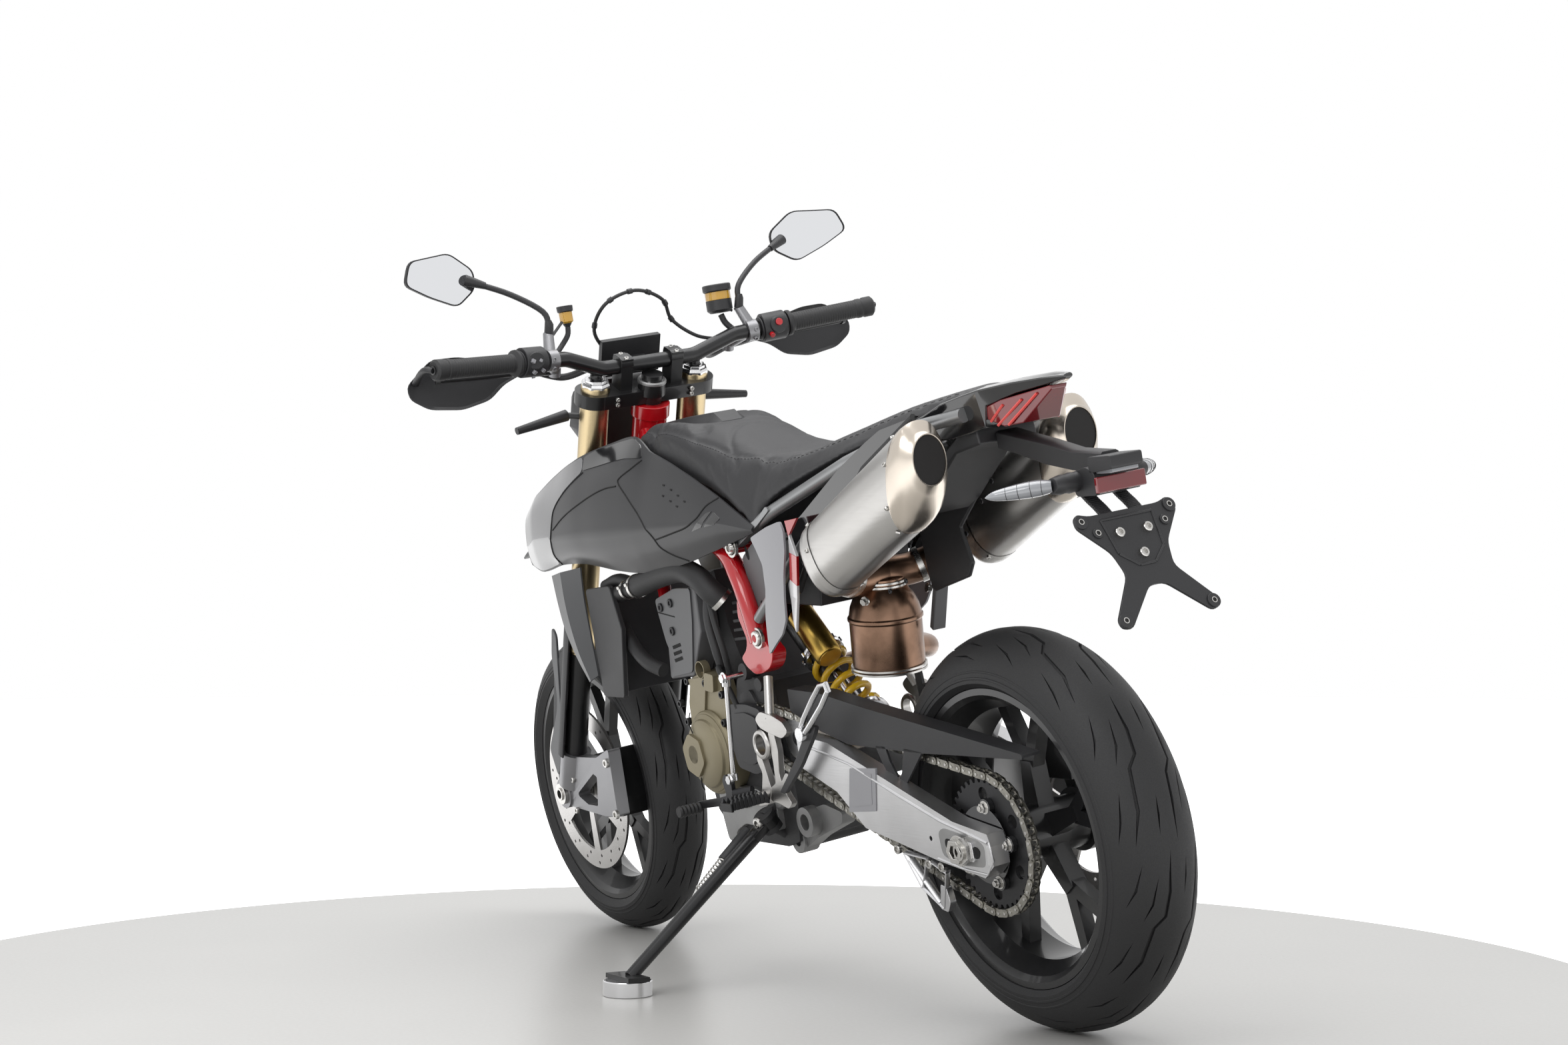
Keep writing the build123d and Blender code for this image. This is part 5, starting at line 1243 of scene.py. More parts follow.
# Plate carrier: arm, lamp box, stems, the blank holder and the rear indicators.
EYES = [(-79, 77), (79, 77), (-79, -77), (79, -77), (-60, 56), (60, 56)]  # the holder's screw holes
PLATE = Matrix(((0, 0.436, -0.9, -345), (-1, 0, 0, 0), (0, 0.9, 0.436, 718), (0, 0, 0, 1)))
holder = Part("plate_holder", "plastic")
HOLDER_ARM = [(-66, 22, 898, 921), (-110, 20, 886, 911), (-170, 18, 868, 898), (-232, 17, 856, 882),
              (-300, 17, 850, 876)]
holder.rings([[(x, -w, low), (x, w, low), (x, w, high), (x, w - 5, high + 3), (x, -w + 5, high + 3),
               (x, -w, high)]
              for x, w, low, high in HOLDER_ARM])
holder.prism([(-350, 856), (-350, 875), (-298, 875), (-298, 852)], -17, 40, 4)
holder.prism([(-309, 820), (-309, 852), (-290, 862), (-262, 856), (-256, 838), (-262, 820)], -40, 40, 6)
for sign in (-1, 1):
    run = flow([(-266, 828), (-282, 814), (-298, 802), (-309, 790), (-322, 762)], 5)
    a, b = sorted((sign * 16, sign * 38))
    for pair in zip(run, run[1:]):
        holder.rings([[(p.x, a, p.y), (p.x, b, p.y), (p.x + 5, b, p.y - 2.4), (p.x + 5, a, p.y - 2.4)]
                      for p in pair])
    stem = [(-264, sign * y, 842) for y in (36, 44, 52, 60, 68, 76, 82)]
    holder.tube(stem, [19, 17.5, 18.5, 16.5, 17.5, 15.5, 14], 20, 0.8)
arms = [(-88, 84), (-80, 90), (-62, 84), (62, 84), (80, 90), (88, 84), (90, 70), (50, 24), (42, -12),
        (90, -74), (88, -86), (72, -90), (14, -34), (-14, -34), (-72, -90), (-88, -86), (-90, -74),
        (-42, -12), (-50, 24), (-90, 70)]
arms = rounded(arms, 10, 3)
holder.rings([[(x, y, z) for x, y in arms] for z in (-2.5, 2.5)], place=PLATE)
for x, y in EYES:
    wide, top = (11, 10.5) if abs(x) > 70 else (8, 7.6)
    holder.lathe([(4.4, 2), (wide, 2), (top, 5), (4.4, 5)], 24, "Z", PLATE @ Matrix.Translation((x, y, 0)),
                 loop=True)
ribs = [(-46, 74), (46, 74), (40, 20), (14, -2), (-14, -2), (-40, 20)]
for k in range(6):
    holder.tube([PLATE @ Vector((*ribs[i], 2.5)) for i in (k, (k + 1) % 6)], 2.4, 6)
holder.done("black_plastic", bevel=1.2, segments=2, replaces=("plate_bracket",))
fixings = Part("plate_fixings", "steel")
for x, y in ((-25, 50), (25, 50), (0, 14)):
    fixings.bolt(PLATE @ Vector((x, y, 2.5)), PLATE.to_3x3() @ Vector((0, 0, 1)), 7.5, 6)
for x, y in EYES:
    fixings.sleeve(3.3, 4.6, -2.6, 5.4, 20, "Z", PLATE @ Matrix.Translation((x, y, 0)))
fixings.done("bare_aluminium")
lamp_box = Part("plate_lamp_window", "lens")
lamp_box.prism([(-344, 850), (-344, 857), (-304, 857), (-304, 850)], -12, 34, 2)
lamp_box.done("lens_clear", bevel=1)
blinkers = Part("rear_blinkers", "lens")
blinker_run = flow([(-262, 80, 842), (-246, 98, 842), (-226, 120, 841), (-208, 140, 840),
                    (-197, 151, 839)], 5)
blinker_size = [11, 12.5, 13.6, 14.4, 15, 15.2, 15.2, 15, 14.6, 14.2, 13.6, 13, 12.2, 11.4, 10.4, 9.4, 8.2,
                6.8, 5.2, 3.4, 0.6]
blinkers.tube(blinker_run, blinker_size, 24, 0.78)
blinkers.twin().done("lens_clear", replaces=("rear_indicators",), smooth=50)
blinker_ribs = Part("rear_blinker_ribs", "dark_metal")
for k in (3, 6, 9, 12):
    spin = aimed(blinker_run[k], blinker_run[k + 1] - blinker_run[k - 1])
    r = blinker_size[k]
    blinker_ribs.tube([spin @ Vector((r * 1.01 * math.cos(t), r * 0.8 * math.sin(t), 0))
                       for t in turns(24)], 0.4, 5, closed=True)
blinker_ribs.twin().done("lens_clear", smooth=60)
marks = Part("fender_fixings", "dark_metal")
for x, z in ((60, 842), (96, 812), (150, 762), (176, 706), (226, 690)):
    for sign in (-1, 1):
        marks.bolt((x + 12, sign * 54, z), (0, sign, 0), 4, 2)
marks.done("black_plastic")

# Swingarm: the flanges along its edges, the axle's ends, a blank plate, the chain's guard and guide, and the
# sprocket's carrier.
flange = Part("swingarm_flanges", "brushed")
flange.tube([(449, 140, 441), (415, 141, 448), (302, 141, 427), (167, 141, 383), (60, 141, 351),
             (-20, 141, 335), (-54, 141, 327)], 3.4, 8, 0.8)
flange.tube([(x, 141, z) for x, z in ((-57, 328), (-61, 300), (-44, 278), (20, 282), (84, 292))], 3, 8, 0.8)
flange.twin().done("swingarm_aluminium", smooth=60)
end = Part("axle_recesses", "cast")
end.prism([(74, 334), (58, 342), (-30, 330), (-46, 322), (-42, 288), (30, 286), (70, 298)], 140, 142.4, 10)
end.twin().done("swingarm_aluminium", bevel=1)
# A near-black plate stands in for the slot in the axle's end: painted shade.
axle_slot_shade = Part("axle_slots", "joint_and_hole_shade")
axle_slot_shade.prism([(56, 326), (-28, 318), (-34, 312), (-28, 300), (40, 304), (58, 312)], 142, 143.2, 9)
axle_slot_shade.twin().done("swingarm_aluminium")
adjust = Part("chain_adjusters", "bright")
adjust.prism([(36, 328), (-20, 326), (-22, 296), (34, 298)], 142, 148, 4)
adjust.prism([(-62, 322), (-50, 322), (-48, 292), (-60, 292)], 128, 143, 3)
adjust.twin().done("bare_aluminium", bevel=1.2)
nuts = Part("rear_axle_nuts", "steel")
for sign in (-1, 1):
    y = sign * 148
    nuts.sleeve(10, 24, 0, sign * 3, 36, "Y", Matrix.Translation((13, y, 311)))
    nuts.rings([[(13 + radius * math.cos(t), y + sign * out, 311 + radius * math.sin(t)) for t in turns(6)]
                for radius, out in ((20, 3), (20, 12), (11, 12), (11, 3))], loop=True)
nuts.done("axle_steel", bevel=1)
blank = Part("blank_plate", "silver")
blank.prism([(300, 420), (222, 424), (240, 354), (322, 347)], 140, 143.4, 3)
blank.prism([(292, 412), (236, 415), (248, 364), (308, 357)], 143.4, 144, 2)
blank.done("swingarm_aluminium")
guard = Part("chain_guard", "plastic")
guard.prism([(498, 538), (400, 534), (273, 515), (60, 487), (-144, 460), (-144, 452), (20, 450), (120, 448),
             (236, 450), (330, 452), (410, 470), (498, 500)], 116, 120, 3)
guard.prism([(250, 454), (236, 426), (206, 384), (192, 382), (188, 392), (214, 430), (222, 454)],
            116, 120, 2)
guard.prism([(168, 454), (118, 450), (190, 384), (206, 392), (184, 414)], 116, 120, 2)
guard.prism([(498, 538), (400, 534), (273, 515), (60, 487), (-142, 458), (-142, 454), (60, 482), (273, 510),
             (400, 529), (498, 533)], 84, 118)
guard.prism([(590, 400), (640, 385), (700, 395), (714, 450), (704, 506), (640, 508), (594, 500)],
            112, 124, 12)
guard.prism([(606, 416), (644, 402), (688, 410), (698, 448), (692, 490), (644, 494), (608, 486)],
            122, 127, 10)
guard.done("black_plastic", bevel=1.5, segments=3, replaces=("chain_guards",))
guide = Part("chain_guide", "brushed")
for a, b in (((208, 286), (146, 282)), ((146, 282), (98, 264)), ((98, 264), (118, 206)),
             ((118, 206), (170, 234)), ((170, 234), (208, 286)), ((146, 282), (170, 234)),
             ((196, 276), (128, 214))):
    guide.tube([(a[0], 120, a[1]), (b[0], 120, b[1])], 6.5, 8, 0.35)
guide.prism([(128, 204), (108, 200), (98, 216), (104, 240), (118, 244)], 112, 124, 4)
guide.done("bare_aluminium", bevel=1, smooth=40)
guide_bolts = Part("chain_guide_bolts", "steel")
for x, z in ((225, 290), (140, 274), (106, 272), (225, 400)):
    guide_bolts.bolt((x, 121, z), (0, 1, 0), 8, 6)
guide_bolts.done("bare_aluminium")
HUB_SPOTS = [(60 * math.cos(math.radians(103 + 72 * k)), 60 * math.sin(math.radians(103 + 72 * k)))
             for k in range(5)]
hub_ring = Part("sprocket_carrier", "gloss", "rear_wheel", REAR)
hub_ring.lathe([(34, 104), (48, 104), (52, 106.5), (60, 108), (60, 110), (50, 109.5), (34, 109.5)],
               48, "Y", loop=True)
for x, z in HUB_SPOTS:
    hub_ring.drum(13, 100, 110, 20, "Y", Matrix.Translation((x, 0, z)))
hub_ring.done("sprocket_black", bevel=0.8)
hub_nuts = Part("sprocket_nuts", "steel", "rear_wheel", REAR)
for x, z in HUB_SPOTS:
    hub_nuts.bolt((x, 109, z), (0, 1, 0), 8, 8, False)
    hub_nuts.drum(4.5, 114, 121, 16, "Y", Matrix.Translation((x, 0, z)))
hub_nuts.done("axle_steel", bevel=0.6)

# Foot controls: cast hangers, serrated pegs, folding loops and the shift linkage.
hangers = Part("peg_hangers", "steel_can")
hangers.lathe([(17, 143), (24, 143), (26, 146), (26, 156), (24, 159), (19, 160), (17, 158)], 40, "Y",
              Matrix.Translation((549, 0, 449)), loop=True)
hangers.prism([(570, 444), (574, 420), (562, 400), (574, 366), (596, 352), (592, 340), (556, 346), (540, 372),
               (548, 400), (556, 424)], 144, 156, 6)
hangers.prism([(548, 478), (560, 492), (540, 506), (500, 500), (470, 490), (456, 474), (478, 462),
               (520, 470)], 144, 156, 8)
hangers.prism([(524, 474), (506, 476), (500, 440), (508, 400), (498, 372), (480, 352), (494, 342), (524, 350),
               (548, 352), (552, 372), (524, 384), (522, 420)], 144, 155, 6)
hangers.tube([(540, 128, 560), (520, 149, 492)], 8, 16)
hangers.tube([(566, 150, 360), (566, 170, 360)], 9, 16)
hangers.prism([(484, 372), (496, 384), (470, 408), (452, 398)], 156, 164, 6)
hangers.twin().done("bare_aluminium", bevel=2.5, segments=3, replaces=("footpegs",))
pegs = Part("rider_pegs", "dark_metal")
for x in (551, 581):
    for k in range(9):
        y = 160 + 8 * k
        pegs.rings([[(x - w, y + low, z), (x + w, y + low, z), (x + w, y + high, z), (x - w, y + high, z)]
                    for w, low, high, z in ((3, 0, 7, 352), (3, 0, 7, 364), (2, 2.6, 4.4, 371))])
pegs.prism([(548, 350), (584, 350), (584, 358), (548, 358)], 158, 162)
pegs.prism([(548, 350), (584, 350), (584, 364), (548, 364)], 228, 233)
pegs.tube([(566, 156, 356), (566, 230, 356)], 5, 12)
pegs.twin().done("black_plastic", bevel=0.7)
folds = Part("passenger_loops", "bright")
fold_line = [(372, 480), (352, 494), (306, 528), (280, 552), (284, 563), (302, 560), (330, 538), (366, 506),
             (380, 490)]
folds.tube([(x, 172, z) for x, z in fold_line], 5.4, 10, 0.9, closed=True)
folds.tube([(380, 166, 478), (380, 180, 478)], 12, 20)
folds.twin().done("bare_aluminium", bevel=1, smooth=50)
props = Part("passenger_struts", "plastic")
props.prism([(476, 372), (492, 374), (420, 436), (366, 494), (344, 490), (352, 478), (408, 424)], 160, 168, 4)
props.twin().done("black_plastic", bevel=2)
linkage = Part("shift_linkage", "bright")
linkage.tube([(630, 160, 552), (650, 164, 392)], 4.2, 12)
linkage.tube([(628, 160, 560), (630, 160, 548)], 8, 16)
linkage.tube([(650, 164, 396), (651, 164, 384)], 8, 16)
linkage.tube([(628, 128, 562), (628, 166, 562)], 5, 12)
linkage.bolt((628, 164, 562), (0, 1, 0), 8, 6, False)
linkage.bolt((651, 170, 386), (0, 1, 0), 8, 6, False)
linkage.done("bare_aluminium", replaces=("foot_controls",))
lever = Part("pedals", "dark_metal")
lever.prism([(664, 396), (676, 384), (668, 358), (696, 352), (780, 340), (780, 326), (690, 338), (648, 344),
             (644, 386)], 166, 174, 5)
lever.prism([(592, 352), (596, 338), (700, 326), (776, 322), (776, 334), (700, 342), (606, 356)],
            -186, -178, 4)
lever.tube([(600, -154, 346), (600, -186, 346)], 9, 16)
lever.tube([(616, 150, 366), (648, 170, 362)], 8, 14)
lever.done("bare_aluminium", bevel=1.5)
toes = Part("pedal_rubbers", "rubber")
for y, end_y in ((172, 216), (-180, -216)):
    ribs = [(10.5 if k % 2 else 9, y + (end_y - y) * k / 12) for k in range(13)]
    toes.lathe([(AXIS, y)] + ribs + [(AXIS, end_y)], 20, "Y", Matrix.Translation((774, 0, 330)))
toes.done("grip_rubber", smooth=30)

# Side stand: its return spring with a sleeve, and its pivot bolt.
puck = nodes["stand_puck"]
puck_points = [TO_BIKE @ (puck.matrix_world @ v.co) for v in puck.data.vertices]
puck_at = sum(puck_points, Vector()) / len(puck_points)
stand_from = Vector((652, 110, 300))
stand_way = (puck_at - stand_from).normalized()
stand_front = Vector((1, 0, 0)) - stand_way * stand_way.x
stand_front.normalize()
springs = Part("stand_spring", "steel", "side_stand")
spring_a = stand_from + stand_way * 92 + stand_front * 33
spring_b = stand_from + stand_way * 168 + stand_front * 27
springs.coil(spring_a, spring_b, 9, 1.7, 11, 8)
springs.tube([spring_b, spring_b + stand_way * 32 - stand_front * 22], 2.2, 8)
springs.bolt(stand_from + Vector((0, 18, 0)), (0, 1, 0), 11, 7)
springs.done("stand_black", smooth=60)
cover_tube = Part("stand_spring_sleeve", "plastic", "side_stand")
cover_tube.tube([stand_from + stand_way * 26 + stand_front * 34,
                 stand_from + stand_way * 98 + stand_front * 33], 11.5, 20)
cover_tube.done("stand_black", bevel=1.5)


def steered(f, y, u):
    """A point of the upright machine from the steering's own frame, in millimetres."""
    return TO_BIKE @ (STEER @ Vector((f, y, u)))


# Frame: bent spars, head tube and the hooked feet that hold them to the engine.
red = Part("frame_tubes", "red")
spar_line = flow([steered(-24, 18, 790), (905, 92, 892), (820, 104, 842), (655, 112, 776), (600, 121, 730),
                  (572, 124, 672), (560, 123, 618)], 6)
red.tube(spar_line, 16, 20)
red.tube(flow([steered(-24, 18, 700), (975, 70, 760), (925, 92, 640)], 6), 13, 16)
red.tube([(880, 98, 874), (960, 76, 742)], 10, 16)
foot_line = [(592, 690), (566, 668), (552, 640), (530, 616), (512, 602), (518, 586), (530, 574), (556, 565),
             (582, 562), (606, 574), (622, 590), (600, 604), (592, 622), (612, 662), (606, 690)]
red.prism(foot_line, 100, 128, 9)
red.prism([(626, 790), (676, 786), (668, 640), (630, 632)], 18, 26, 6)
red.twin()
red.tube([(655, -112, 776), (655, 112, 776)], 12, 16)
red.tube([steered(0, 0, 664), steered(0, 0, 846)], 32, 32)
red.tube([steered(0, 0, 820), steered(0, 0, 846)], 36, 32)
red.tube([steered(0, 0, 664), steered(0, 0, 690)], 36, 32)
red.done("frame_red", bevel=2.5, segments=3, replaces=("main_frame",), smooth=40)

# Fork: gold legs with hexagon caps, clamps with pinch bolts, guards and feet.
legs = Part("fork_legs", "gold", "steering", STEER)
caps = Part("fork_caps", "bright", "steering", STEER)
knobs = Part("fork_knobs", "anodised", "steering", STEER)
for sign in (-1, 1):
    spot = Matrix.Translation((26, sign * 104, 0))
    legs.lathe([(21, 330), (25, 330), (27.5, 333), (27.5, 352), (27, 356), (27, 640), (27, 880), (26, 884),
                (21, 884)], 48, "Z", spot, loop=True)
    legs.sleeve(22, 24, 326, 331, 48, "Z", spot)
    caps.lathe([(14, 882), (27.6, 882), (27.6, 887), (25.5, 892), (14, 892)], 8, "Z", spot, loop=True)
    caps.lathe([(14, 886), (23, 886), (21, 897), (14, 897)], 8, "Z", spot, loop=True)
    knobs.lathe([(AXIS, 880), (14.6, 880), (14.6, 896), (11, 897), (11, 904), (9.5, 907), (AXIS, 907)],
                24, "Z", spot)
legs.done("fork_gold", replaces=("fork_uppers",), smooth=30)
caps.done("bare_aluminium", bevel=0.8, smooth=20)
knobs.done("clamp_black", bevel=1)
clamp_bolts = Part("clamp_bolts", "steel", "steering", STEER)
for u in (640, 652, 856, 866):
    for sign in (-1, 1):
        clamp_bolts.bolt((-14, sign * 78, u), (-1, 0, 0), 4.6, 4)
for sign in (-1, 1):
    for f in (7, 29):
        clamp_bolts.bolt((f, sign * 53, 935), (0, 0, 1), 4.4, 4)
clamp_bolts.done("bare_aluminium")
stem_disc = Part("stem_disc", "cast", "steering", STEER)
stem_disc.lathe([(12, 885.5), (27, 885.5), (27, 890), (25, 892), (22, 890.5), (12, 890.5)],
                40, "Z", loop=True)
for x, y in ((1, 1), (-1, 1), (-1, -1), (1, -1)):
    stem_disc.drum(4, 889, 892.5, 12, "Z",
                   Matrix.Translation((17 * x * math.sqrt(0.5), 17 * y * math.sqrt(0.5), 0)))
stem_disc.lathe([(AXIS, 886), (9, 886), (9, 893), (6, 893), (5, 889), (AXIS, 889)], 24, "Z")
stem_disc.done("clamp_black", bevel=0.6)
bar_caps = Part("bar_clamps", "anodised", "steering", STEER)
for sign in (-1, 1):
    y0, y1 = sorted((sign * 40, sign * 66))
    bar_caps.prism([(0, 920), (1, 934), (8, 938), (28, 938), (35, 934), (36, 920)], y0, y1, 4)
bar_caps.done("clamp_black", bevel=1.5)
blades = Part("fork_guard_blades", "silver_grey", "steering")
blades.prism([(1350, 640), (1337, 622), (1372, 470), (1380, 439), (1418, 352), (1433, 337), (1452, 392),
              (1390, 470), (1378, 500), (1372, 583)], 127, 132, 10)
blades.twin().done("black_plastic", bevel=2, segments=3)
foot_bolts = Part("fork_foot_bolts", "steel", "steering")
for x, z in ((1231, 372), (1224, 272)):
    foot_bolts.bolt((x, 118, z), (0, 1, 0), 9, 6)
for x, z in ((1392, 330), (1430, 350), (1396, 268)):
    foot_bolts.bolt((x, 119, z), (0, 1, 0), 6, 5)
foot_bolts.done("bare_aluminium")

# Grips, switches, levers and pots along the bar.
bar_out, bar_in = Vector((-28, 432, 984)), Vector((10, 178, 952))
bar_way = (bar_in - bar_out).normalized()
bar_place = aimed(bar_out, bar_way)


def off_bar(along, turn, reach):
    """A point beside the bar: how far in from its end, which way round it and how far out."""
    out = bar_place.to_3x3() @ Vector((math.cos(turn), math.sin(turn), 0))
    return bar_out + bar_way * along + out * reach


grip = Part("bar_grips", "rubber", "steering", STEER)
profile = [(12, -26), (15, -27), (19, -23), (19, -8), (17.5, -5), (17.5, -2), (18.4, -1), (18.4, 6)]
for k in range(26):
    at = 8 + 5 * k
    profile += [(17.4, at), (17.4, at + 2.6), (17, at + 3.2), (17, at + 4.4)]
profile += [(17.6, 140), (24, 145), (24.5, 149), (23, 152), (14.4, 152)]
grip.lathe([(AXIS, -26)] + profile + [(AXIS, 152)], 32, "Z", bar_place)
grip.twin().done("grip_rubber", replaces=("grips",), smooth=28)
weights = Part("bar_end_screws", "anodised", "steering", STEER)
weights.bolt(bar_out - bar_way * 26.5, -bar_way, 8, 2)
weights.twin().done("clamp_black")
housing = Part("switch_housings", "plastic", "steering", STEER)
for low, high, r, flat in ((154, 158, 22, 1), (158, 204, 25, 1.1), (204, 208, 22, 1)):
    housing.sleeve(14.2, r, low, high, 28, "Z", bar_place @ Matrix.Diagonal((1, flat, 1, 1)))
block = bar_out + bar_way * 181
housing.tube([block + Vector((8, 0, 0)), block + Vector((-24, 0, 12))], [21, 17], 24, 0.9)
housing.twin().done("clamp_black", bevel=1.5)
keys = Part("switch_keys", "silver", "steering", STEER)
for along, turn, half_size in ((168, 2.7, 5), (184, 2.7, 4), (174, 3.5, 5), (192, 3.4, 4.5), (180, 4.1, 3.6)):
    keys.tube([off_bar(along, turn, 24), off_bar(along, turn, 30)], half_size, 4)
keys.done("clamp_black", bevel=0.6)
stop = Part("stop_switch", "red", "steering", STEER)
for along, turn, half_size in ((176, 2.5, 7), (192, 3.3, 5)):
    stop.tube([Vector((1, -1, 1)) * off_bar(along, turn, reach) for reach in (24, 31)], half_size, 12)
stop.done("clamp_black", bevel=0.8)
perch_at = bar_out + bar_way * 224
pivot = Vector((37, 184, 918))
stem_foot = Vector((39, 200, 999))
perch = Part("lever_perches", "foot", "steering", STEER)
perch.lathe([(14.2, 214), (20, 214), (20.5, 234), (14.2, 234)], 28, "Z", bar_place, loop=True)
perch.tube([perch_at, pivot], [13, 10], 20, 0.8)
perch.tube([pivot + Vector((0, 0, -9)), pivot + Vector((0, 0, 9))], 11, 20)
perch.tube([perch_at + Vector((0, 0, 6)), stem_foot - Vector((0, 0, 5))], [11, 9.5], 20)
perch.bolt(perch_at + Vector((-16, 0, 8)), (-1, 0, 0.3), 4.5, 4)
perch.bolt(perch_at + Vector((-18, 0, -8)), (-1, 0, -0.3), 4.5, 4)
perch.twin().done("clamp_black", bevel=1.2, replaces=("hand_controls",))
LEVER_LINE = [(37, 184, 918), (40, 214, 919), (42, 250, 922), (32, 320, 930), (20, 400, 940), (16, 424, 943)]
levers = Part("hand_levers", "anodised", "steering", STEER)
lever_line = flow(LEVER_LINE, 5)
levers.tube(lever_line, [8] * 6 + [7.4 - 0.11 * k for k in range(len(lever_line) - 6)], 14, 0.75)
levers.tube([(16, 422, 943), (18, 430, 943)], 7, 14)
levers.twin().done("clamp_black", bevel=0.6, smooth=50)

# Brake and clutch reservoirs: each foot, its top, and the fluid in it.
POT_FEET = [Vector((63, 149, 996)), Vector((54, -172, 979))]
POT_TOPS = [Vector((78, 149, 1026)), Vector((78, -172, 1027))]
left_pot, right_pot = (aimed(foot, top - foot) for foot, top in zip(POT_FEET, POT_TOPS))
left_tall, right_tall = ((top - foot).length for foot, top in zip(POT_FEET, POT_TOPS))
fluid = Part("reservoir_fluid", "fluid", "steering", STEER)
fluid.lathe([(AXIS, 2), (9, 1), (12.4, 4), (12.4, left_tall * 0.66), (AXIS, left_tall * 0.66)],
            28, "Z", left_pot)
fluid.drum(24.4, 24, right_tall * 0.74, 32, "Z", right_pot)
fluid.done("lens_clear", bevel=1)
pots = Part("reservoirs", "plastic", "steering", STEER)
pots.lathe([(AXIS, left_tall * 0.66), (13, left_tall * 0.66), (14.6, left_tall * 0.7),
            (15.2, left_tall * 0.98), (13, left_tall), (AXIS, left_tall)], 20, "Z", left_pot)
pots.lathe([(AXIS, 0), (4, -6), (8, 0), (9, 2), (AXIS, 2)], 20, "Z", left_pot)
pots.lathe([(AXIS, right_tall * 0.74), (25, right_tall * 0.74), (27, right_tall * 0.78),
            (27, right_tall * 0.97), (25, right_tall), (AXIS, right_tall)], 24, "Z", right_pot)
pots.lathe([(AXIS, 0), (19, 0), (24.6, 5), (24.6, 24), (AXIS, 24)], 28, "Z", right_pot)
pots.tube(flow([(60, 149, 992), (54, 152, 978), (48, 166, 962), (30, 190, 950)], 4), 5, 12)
pots.tube(flow([(52, -172, 976), (44, -178, 962), (30, -190, 950)], 4), 6, 12)
pots.tube([(70, 149, 1008), (44, 190, 984)], 3.6, 8, 0.6)
pots.tube([(60, -172, 992), (44, -192, 984)], 4, 8, 0.6)
pots.done("clamp_black", bevel=0.8)

# Mirrors: a dished hexagon shell with glass and a booted stem.
MIRROR_AT = (104, 386, 1096)
mirror_x, mirror_z = Vector((0.207, -0.966, -0.146)).normalized(), Vector((-0.87, -0.25, 0.43))
mirror_z = (mirror_z - mirror_x * mirror_z.dot(mirror_x)).normalized()
mirror_place = basis(mirror_x, mirror_z.cross(mirror_x), mirror_z, MIRROR_AT, 1)
mirror_line = rounded([(-80, -6), (-64, 36), (26, 48), (78, 14), (76, -20), (32, -50), (-28, -30)], 14, 4)


def mirror_ring(scale, depth):
    """The mirror's outline, drawn in, at a depth."""
    return [(x * scale, y * scale, depth) for x, y in mirror_line]


shells = Part("mirror_shells", "plastic", "steering", STEER)
shells.rings([mirror_ring(*step) for step in (
    (0.96, 0), (0.975, 1.6), (1, 1.2), (1, -3), (0.95, -9), (0.8, -13), (0.5, -15))], place=mirror_place)
shells.tube(flow([(36, 200, 993), (38, 200, 1006), (52, 206, 1032), (82, 256, 1060), (106, 318, 1082)], 5),
            5.4, 14)
shells.tube([(36, 200, 993), (37, 200, 1012), (40, 201, 1018)], [8.6, 8, 6], 18)
shells.tube([(98, 300, 1077), (104, 316, 1082), (112, 334, 1087)], [6.4, 8.4, 10.5], 18)
shells.twin().done("black_plastic", replaces=("mirrors",), smooth=40)
glass = Part("mirror_glass", "mirror", "steering", STEER)
glass.rings([mirror_ring(0.95, -2), mirror_ring(0.95, 1.3), mirror_ring(0.2, 1.5)], place=mirror_place)
glass.twin().done("mirror_face", smooth=20)

# Handguards: a dished shield on two stays.
guard_place = Matrix(((0, 0.44, 0.898, 60), (1, 0, 0, 0), (0, 0.898, -0.44, 930), (0, 0, 0, 1)))
shield_line = [(225, -10), (282, -30), (314, -54), (369, -64), (432, -55), (466, -32), (468, -8), (416, 32),
               (365, 31), (290, 14), (225, 4)]


def shield_ring(scale, depth):
    """The hand shield's outline, drawn in toward its middle, at a depth."""
    return [(350 + (x - 350) * scale, -12 + (y + 12) * scale, depth)
            for x, y in rounded(shield_line, 12, 3)]


shield = Part("hand_shields", "plastic", "steering", STEER)
shield.rings([shield_ring(*step) for step in ((0.9, 0), (1, -4), (1.01, -2), (0.99, 1), (0.8, 7), (0.4, 10))],
             place=guard_place)
shield.tube(flow([bar_out - bar_way * 27, bar_out - bar_way * 36 + Vector((22, 0, -8)), (52, 452, 930),
                  (58, 446, 926)], 5), 7.5, 14, 0.7)
shield.tube(flow([(16, 118, 926), (50, 150, 898), (60, 180, 900), (60, 236, 924)], 5), 6.5, 14)
shield.tube([(58, 300, 912), (60, 380, 918)], 5, 12)
shield.twin().done("black_plastic", bevel=1, replaces=("handguards",), smooth=35)

# Front brake hose, held by clips, and the cables by the bar.
arch = flow([(96, 40, 905), (96, 74, 960), (84, 60, 1016), (82, 0, 1036), (84, -60, 1010), (84, -84, 966),
             (60, -124, 938), (44, -166, 930), (38, -182, 926)], 8)
hose_run = Part("brake_hose_run", "rubber", "steering", STEER)
hose_run.tube(arch, 3.4, 12)
hose_run.done("hose_rubber", replaces=("brake_hose",), smooth=60)
clips = Part("brake_hose_clips", "plastic", "steering", STEER)
for k in (9, 17, 22, 27, 33, 39):
    clips.tube([arch[k], arch[k] + (arch[k + 1] - arch[k]).normalized() * 9], 5.2, 12)
for sign in (1, -1):
    clips.tube(flow([(30, sign * 190, 944), (20, sign * 150, 930), (34, sign * 110, 912),
                     (52, sign * 84, 880), (54, sign * 78, 820)], 5), 4.4, 10)
clips.done("hose_rubber", smooth=50)
for node, width, smooth in (("front_mudguard", 1.5, 60), ("headlight_mask", 3, 50), ("handlebar", 0.4, 60)):
    soften(node, width, smooth)

# ---------------------------------------------------------------- room, light and camera

ROOM_R = 1.53
FLOOR_SIDES = 160


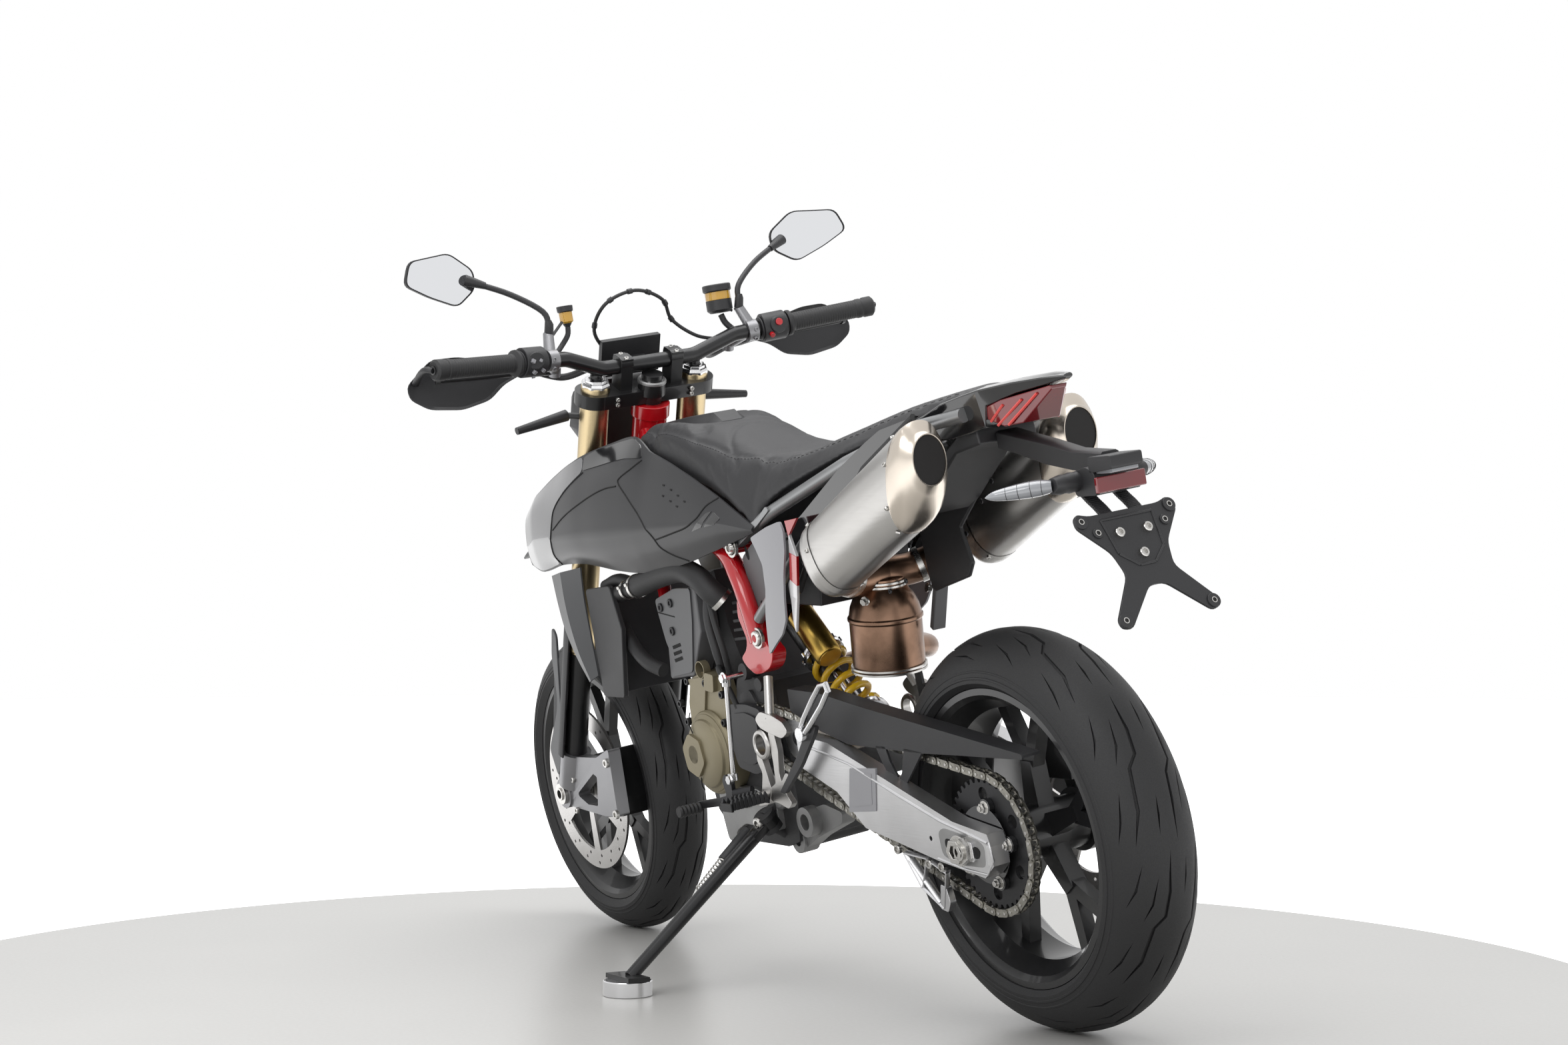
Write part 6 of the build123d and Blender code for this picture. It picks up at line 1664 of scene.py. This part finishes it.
def seen_straight(tree):
    """1 where the camera looks at a surface itself, in a reflection or through glass, and 0 for its light."""
    path = tree.nodes.new("ShaderNodeLightPath")
    seen = path.outputs["Is Camera Ray"]
    for other in ("Is Glossy Ray", "Is Transmission Ray"):
        most = tree.nodes.new("ShaderNodeMath")
        most.operation = "MAXIMUM"
        tree.links.new(seen, most.inputs[0])
        tree.links.new(path.outputs[other], most.inputs[1])
        seen = most.outputs[0]
    return seen


def plain(name, colour, rough):
    """A flat paint that shows white to the camera and lights nothing."""
    made, tree, surface = shader(name, colour, rough)
    surface.inputs["Emission Color"].default_value = (1, 1, 1, 1)
    tree.links.new(seen_straight(tree), surface.inputs["Emission Strength"])
    return made


def disc_mesh(name, inner, outer, height, material):
    """A flat ring of floor, or a whole disc where its inner radius is 0."""
    count = FLOOR_SIDES
    verts = [(r * math.cos(t), r * math.sin(t), height) for r in (inner, outer) for t in turns(count)]
    faces = [(k, count + k, count + (k + 1) % count, (k + 1) % count) for k in range(count)]
    if not inner:
        verts, faces = verts[count:], [tuple(range(count))]
    made = bpy.data.meshes.new(name)
    made.from_pydata(verts, [], faces)
    made.materials.append(material)
    thing = bpy.data.objects.new(name, made)
    bpy.context.scene.collection.objects.link(thing)


finish("floor_paint", (0.52, 0.515, 0.5), 0.32, grain=140, bump=0.03, vary=0.05, blotch=1.4)
disc_mesh("floor", 0, ROOM_R, 0, M["floor_paint"])
disc_mesh("surround", ROOM_R + 0.001, 14, -0.001, plain("surround_paint", (0.8, 0.8, 0.8), 0.9))

world = bpy.data.worlds.new("room")
bpy.context.scene.world = world
world.use_nodes = True
back = world.node_tree.nodes["Background"]
strength = world.node_tree.nodes.new("ShaderNodeMapRange")
strength.inputs["To Min"].default_value = 0.75
strength.inputs["To Max"].default_value = 1.0
world.node_tree.links.new(seen_straight(world.node_tree), strength.inputs["Value"])
world.node_tree.links.new(strength.outputs["Result"], back.inputs["Strength"])
back.inputs["Color"].default_value = (1, 1, 1, 1)


def softbox(name, place, target, size, power):
    """A rectangular area light aimed at a target."""
    data = bpy.data.lights.new(name, "AREA")
    data.shape = "RECTANGLE"
    data.size, data.size_y = size
    data.energy = power
    lamp = bpy.data.objects.new(name, data)
    lamp.location = place
    lamp.rotation_mode = "QUATERNION"
    lamp.rotation_quaternion = (Vector(target) - Vector(place)).to_track_quat("-Z", "Y")
    bpy.context.scene.collection.objects.link(lamp)


softbox("top_light", (0.1, 0.1, 3.2), (0, 0, 0.6), (3.0, 2.2), 60)
softbox("key_light", (-1.6, 3.0, 2.4), (0, 0, 0.7), (1.8, 1.2), 30)

# The camera stands where the photograph was taken, measured from the rear axle.
CAMERA_FROM_AXLE = Vector((-3.1182, 2.3359 - 0.0425, 0.6463 - 0.30807))
CAMERA_YAW = math.radians(-30.48)
CAMERA_PITCH = math.radians(1.90)
camera_data = bpy.data.cameras.new("camera")
camera_data.sensor_width = 36
camera_data.lens = 57.88
camera = bpy.data.objects.new("camera", camera_data)
camera.location = rear_axle + CAMERA_FROM_AXLE
looking = Vector((math.cos(CAMERA_YAW) * math.cos(CAMERA_PITCH),
                  math.sin(CAMERA_YAW) * math.cos(CAMERA_PITCH), math.sin(CAMERA_PITCH)))
camera.rotation_mode = "QUATERNION"
camera.rotation_quaternion = looking.to_track_quat("-Z", "Y")
bpy.context.scene.collection.objects.link(camera)
bpy.context.scene.camera = camera
bpy.context.scene.view_settings.view_transform = "Standard"
